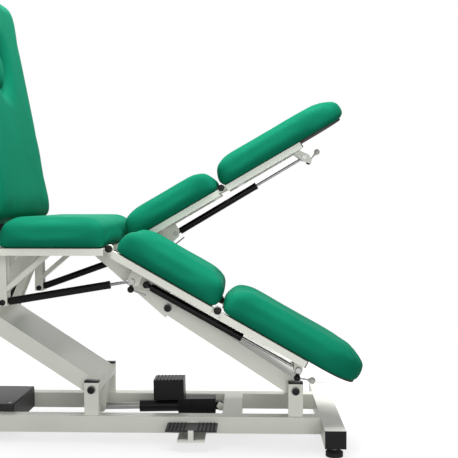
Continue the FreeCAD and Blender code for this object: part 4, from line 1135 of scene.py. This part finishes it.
# %% lamps
LOOK_AT = (0.1, 0, 0.6)
LAMPS = {
    "overhead": ((0.1, 0.1, 3.0), 2.4, 182),
    "front": ((0.9, -3.6, 0.9), 2.4, 62),
    "behind": ((-1.0, 2.8, 2.2), 2.0, 16),
}
for name, (place, size, power) in LAMPS.items():
    lamp_data = bpy.data.lights.new(name, "AREA")
    lamp_data.size = size
    lamp_data.energy = power
    lamp = bpy.data.objects.new(name, lamp_data)
    lamp.location = place
    lamp.rotation_euler = (Vector(LOOK_AT) - Vector(place)).to_track_quat("-Z", "Y").to_euler()
    bpy.context.scene.collection.objects.link(lamp)
print("lamps:", {name: power for name, (place, size, power) in LAMPS.items()})

# %% [markdown]
# The background is plain white. More light would wash out the table, so the world shows white only to
# rays that come from the camera or from a mirror, and lights the table gently otherwise.

# %% white background
WORLD_LIGHT = 0.26


def seen_directly(tree):
    """One for camera, glossy and transmission rays, and nought for the rest."""
    ray = tree.nodes.new("ShaderNodeLightPath")
    last = ray.outputs["Is Camera Ray"]
    for kind in ("Is Glossy Ray", "Is Transmission Ray"):
        either = tree.nodes.new("ShaderNodeMath")
        either.operation = "MAXIMUM"
        tree.links.new(last, either.inputs[0])
        tree.links.new(ray.outputs[kind], either.inputs[1])
        last = either.outputs["Value"]
    return last


world = bpy.data.worlds.new("studio")
bpy.context.scene.world = world
world.use_nodes = True
tree = world.node_tree
gentle = tree.nodes["Background"]
gentle.inputs["Color"].default_value = (0.95, 0.97, 1.0, 1)
gentle.inputs["Strength"].default_value = WORLD_LIGHT
white = tree.nodes.new("ShaderNodeBackground")
white.inputs["Color"].default_value = (1, 1, 1, 1)
mix = tree.nodes.new("ShaderNodeMixShader")
tree.links.new(seen_directly(tree), mix.inputs["Fac"])
tree.links.new(gentle.outputs["Background"], mix.inputs[1])
tree.links.new(white.outputs["Background"], mix.inputs[2])
tree.links.new(mix.outputs["Shader"], tree.nodes["World Output"].inputs["Surface"])
print("world light", WORLD_LIGHT, "and a white background")

# %% [markdown]
# The floor does the same: seen directly it glows up to white, while its own greyer paint catches the shadow
# and throws little light back up, so the undersides stay dark as they do on a studio roll. A plain plane
# would end in a grey horizon, so the floor fades out, from full at one radius to clear at another.

# %% floor
FLOOR_SIZE = 6
FLOOR_DROP = 0.5 * MM
FLOOR_GREY = 0.26
FLOOR_GLOW = 0.74
FADE_FROM = 1.2
FADE_TO = 2.4
deselect_all()
bpy.ops.mesh.primitive_plane_add(size=FLOOR_SIZE, location=(0, 0, -FLOOR_DROP))
floor = set_in_place(bpy.context.object, Matrix.Identity(4))
floor.name = "floor"
floor_finish, floor_shader = new_finish("floor", 0.8, 0.1)
floor_shader.inputs["Base Color"].default_value = (FLOOR_GREY, FLOOR_GREY, FLOOR_GREY, 1)
floor_shader.inputs["Emission Color"].default_value = (1, 1, 1, 1)
glow = add_node(floor_finish, "ShaderNodeMath")
glow.operation = "MULTIPLY"
glow.inputs[1].default_value = FLOOR_GLOW
floor_finish.node_tree.links.new(seen_directly(floor_finish.node_tree), glow.inputs[0])
wire(floor_finish, glow, "Value", floor_shader, "Emission Strength")
reach = add_node(floor_finish, "ShaderNodeVectorMath")
reach.operation = "LENGTH"
wire(floor_finish, object_place(floor_finish), "Vector", reach, 0)
fade = add_node(floor_finish, "ShaderNodeMapRange")
fade.inputs["From Min"].default_value = FADE_FROM
fade.inputs["From Max"].default_value = FADE_TO
wire(floor_finish, reach, "Value", fade, "Value")
clear = add_node(floor_finish, "ShaderNodeBsdfTransparent")
blend = add_node(floor_finish, "ShaderNodeMixShader")
wire(floor_finish, fade, "Result", blend, 0)
wire(floor_finish, floor_shader, "BSDF", blend, 1)
wire(floor_finish, clear, "BSDF", blend, 2)
wire(floor_finish, blend, "Shader", floor_finish.node_tree.nodes["Material Output"], "Surface")
floor.data.materials.append(floor_finish)
print("floor grey", FLOOR_GREY, "glow", FLOOR_GLOW)

# %% [markdown]
# ## Colour view
# The Standard view keeps colours as they are written.

# %% colour view
bpy.context.scene.view_settings.view_transform = "Standard"
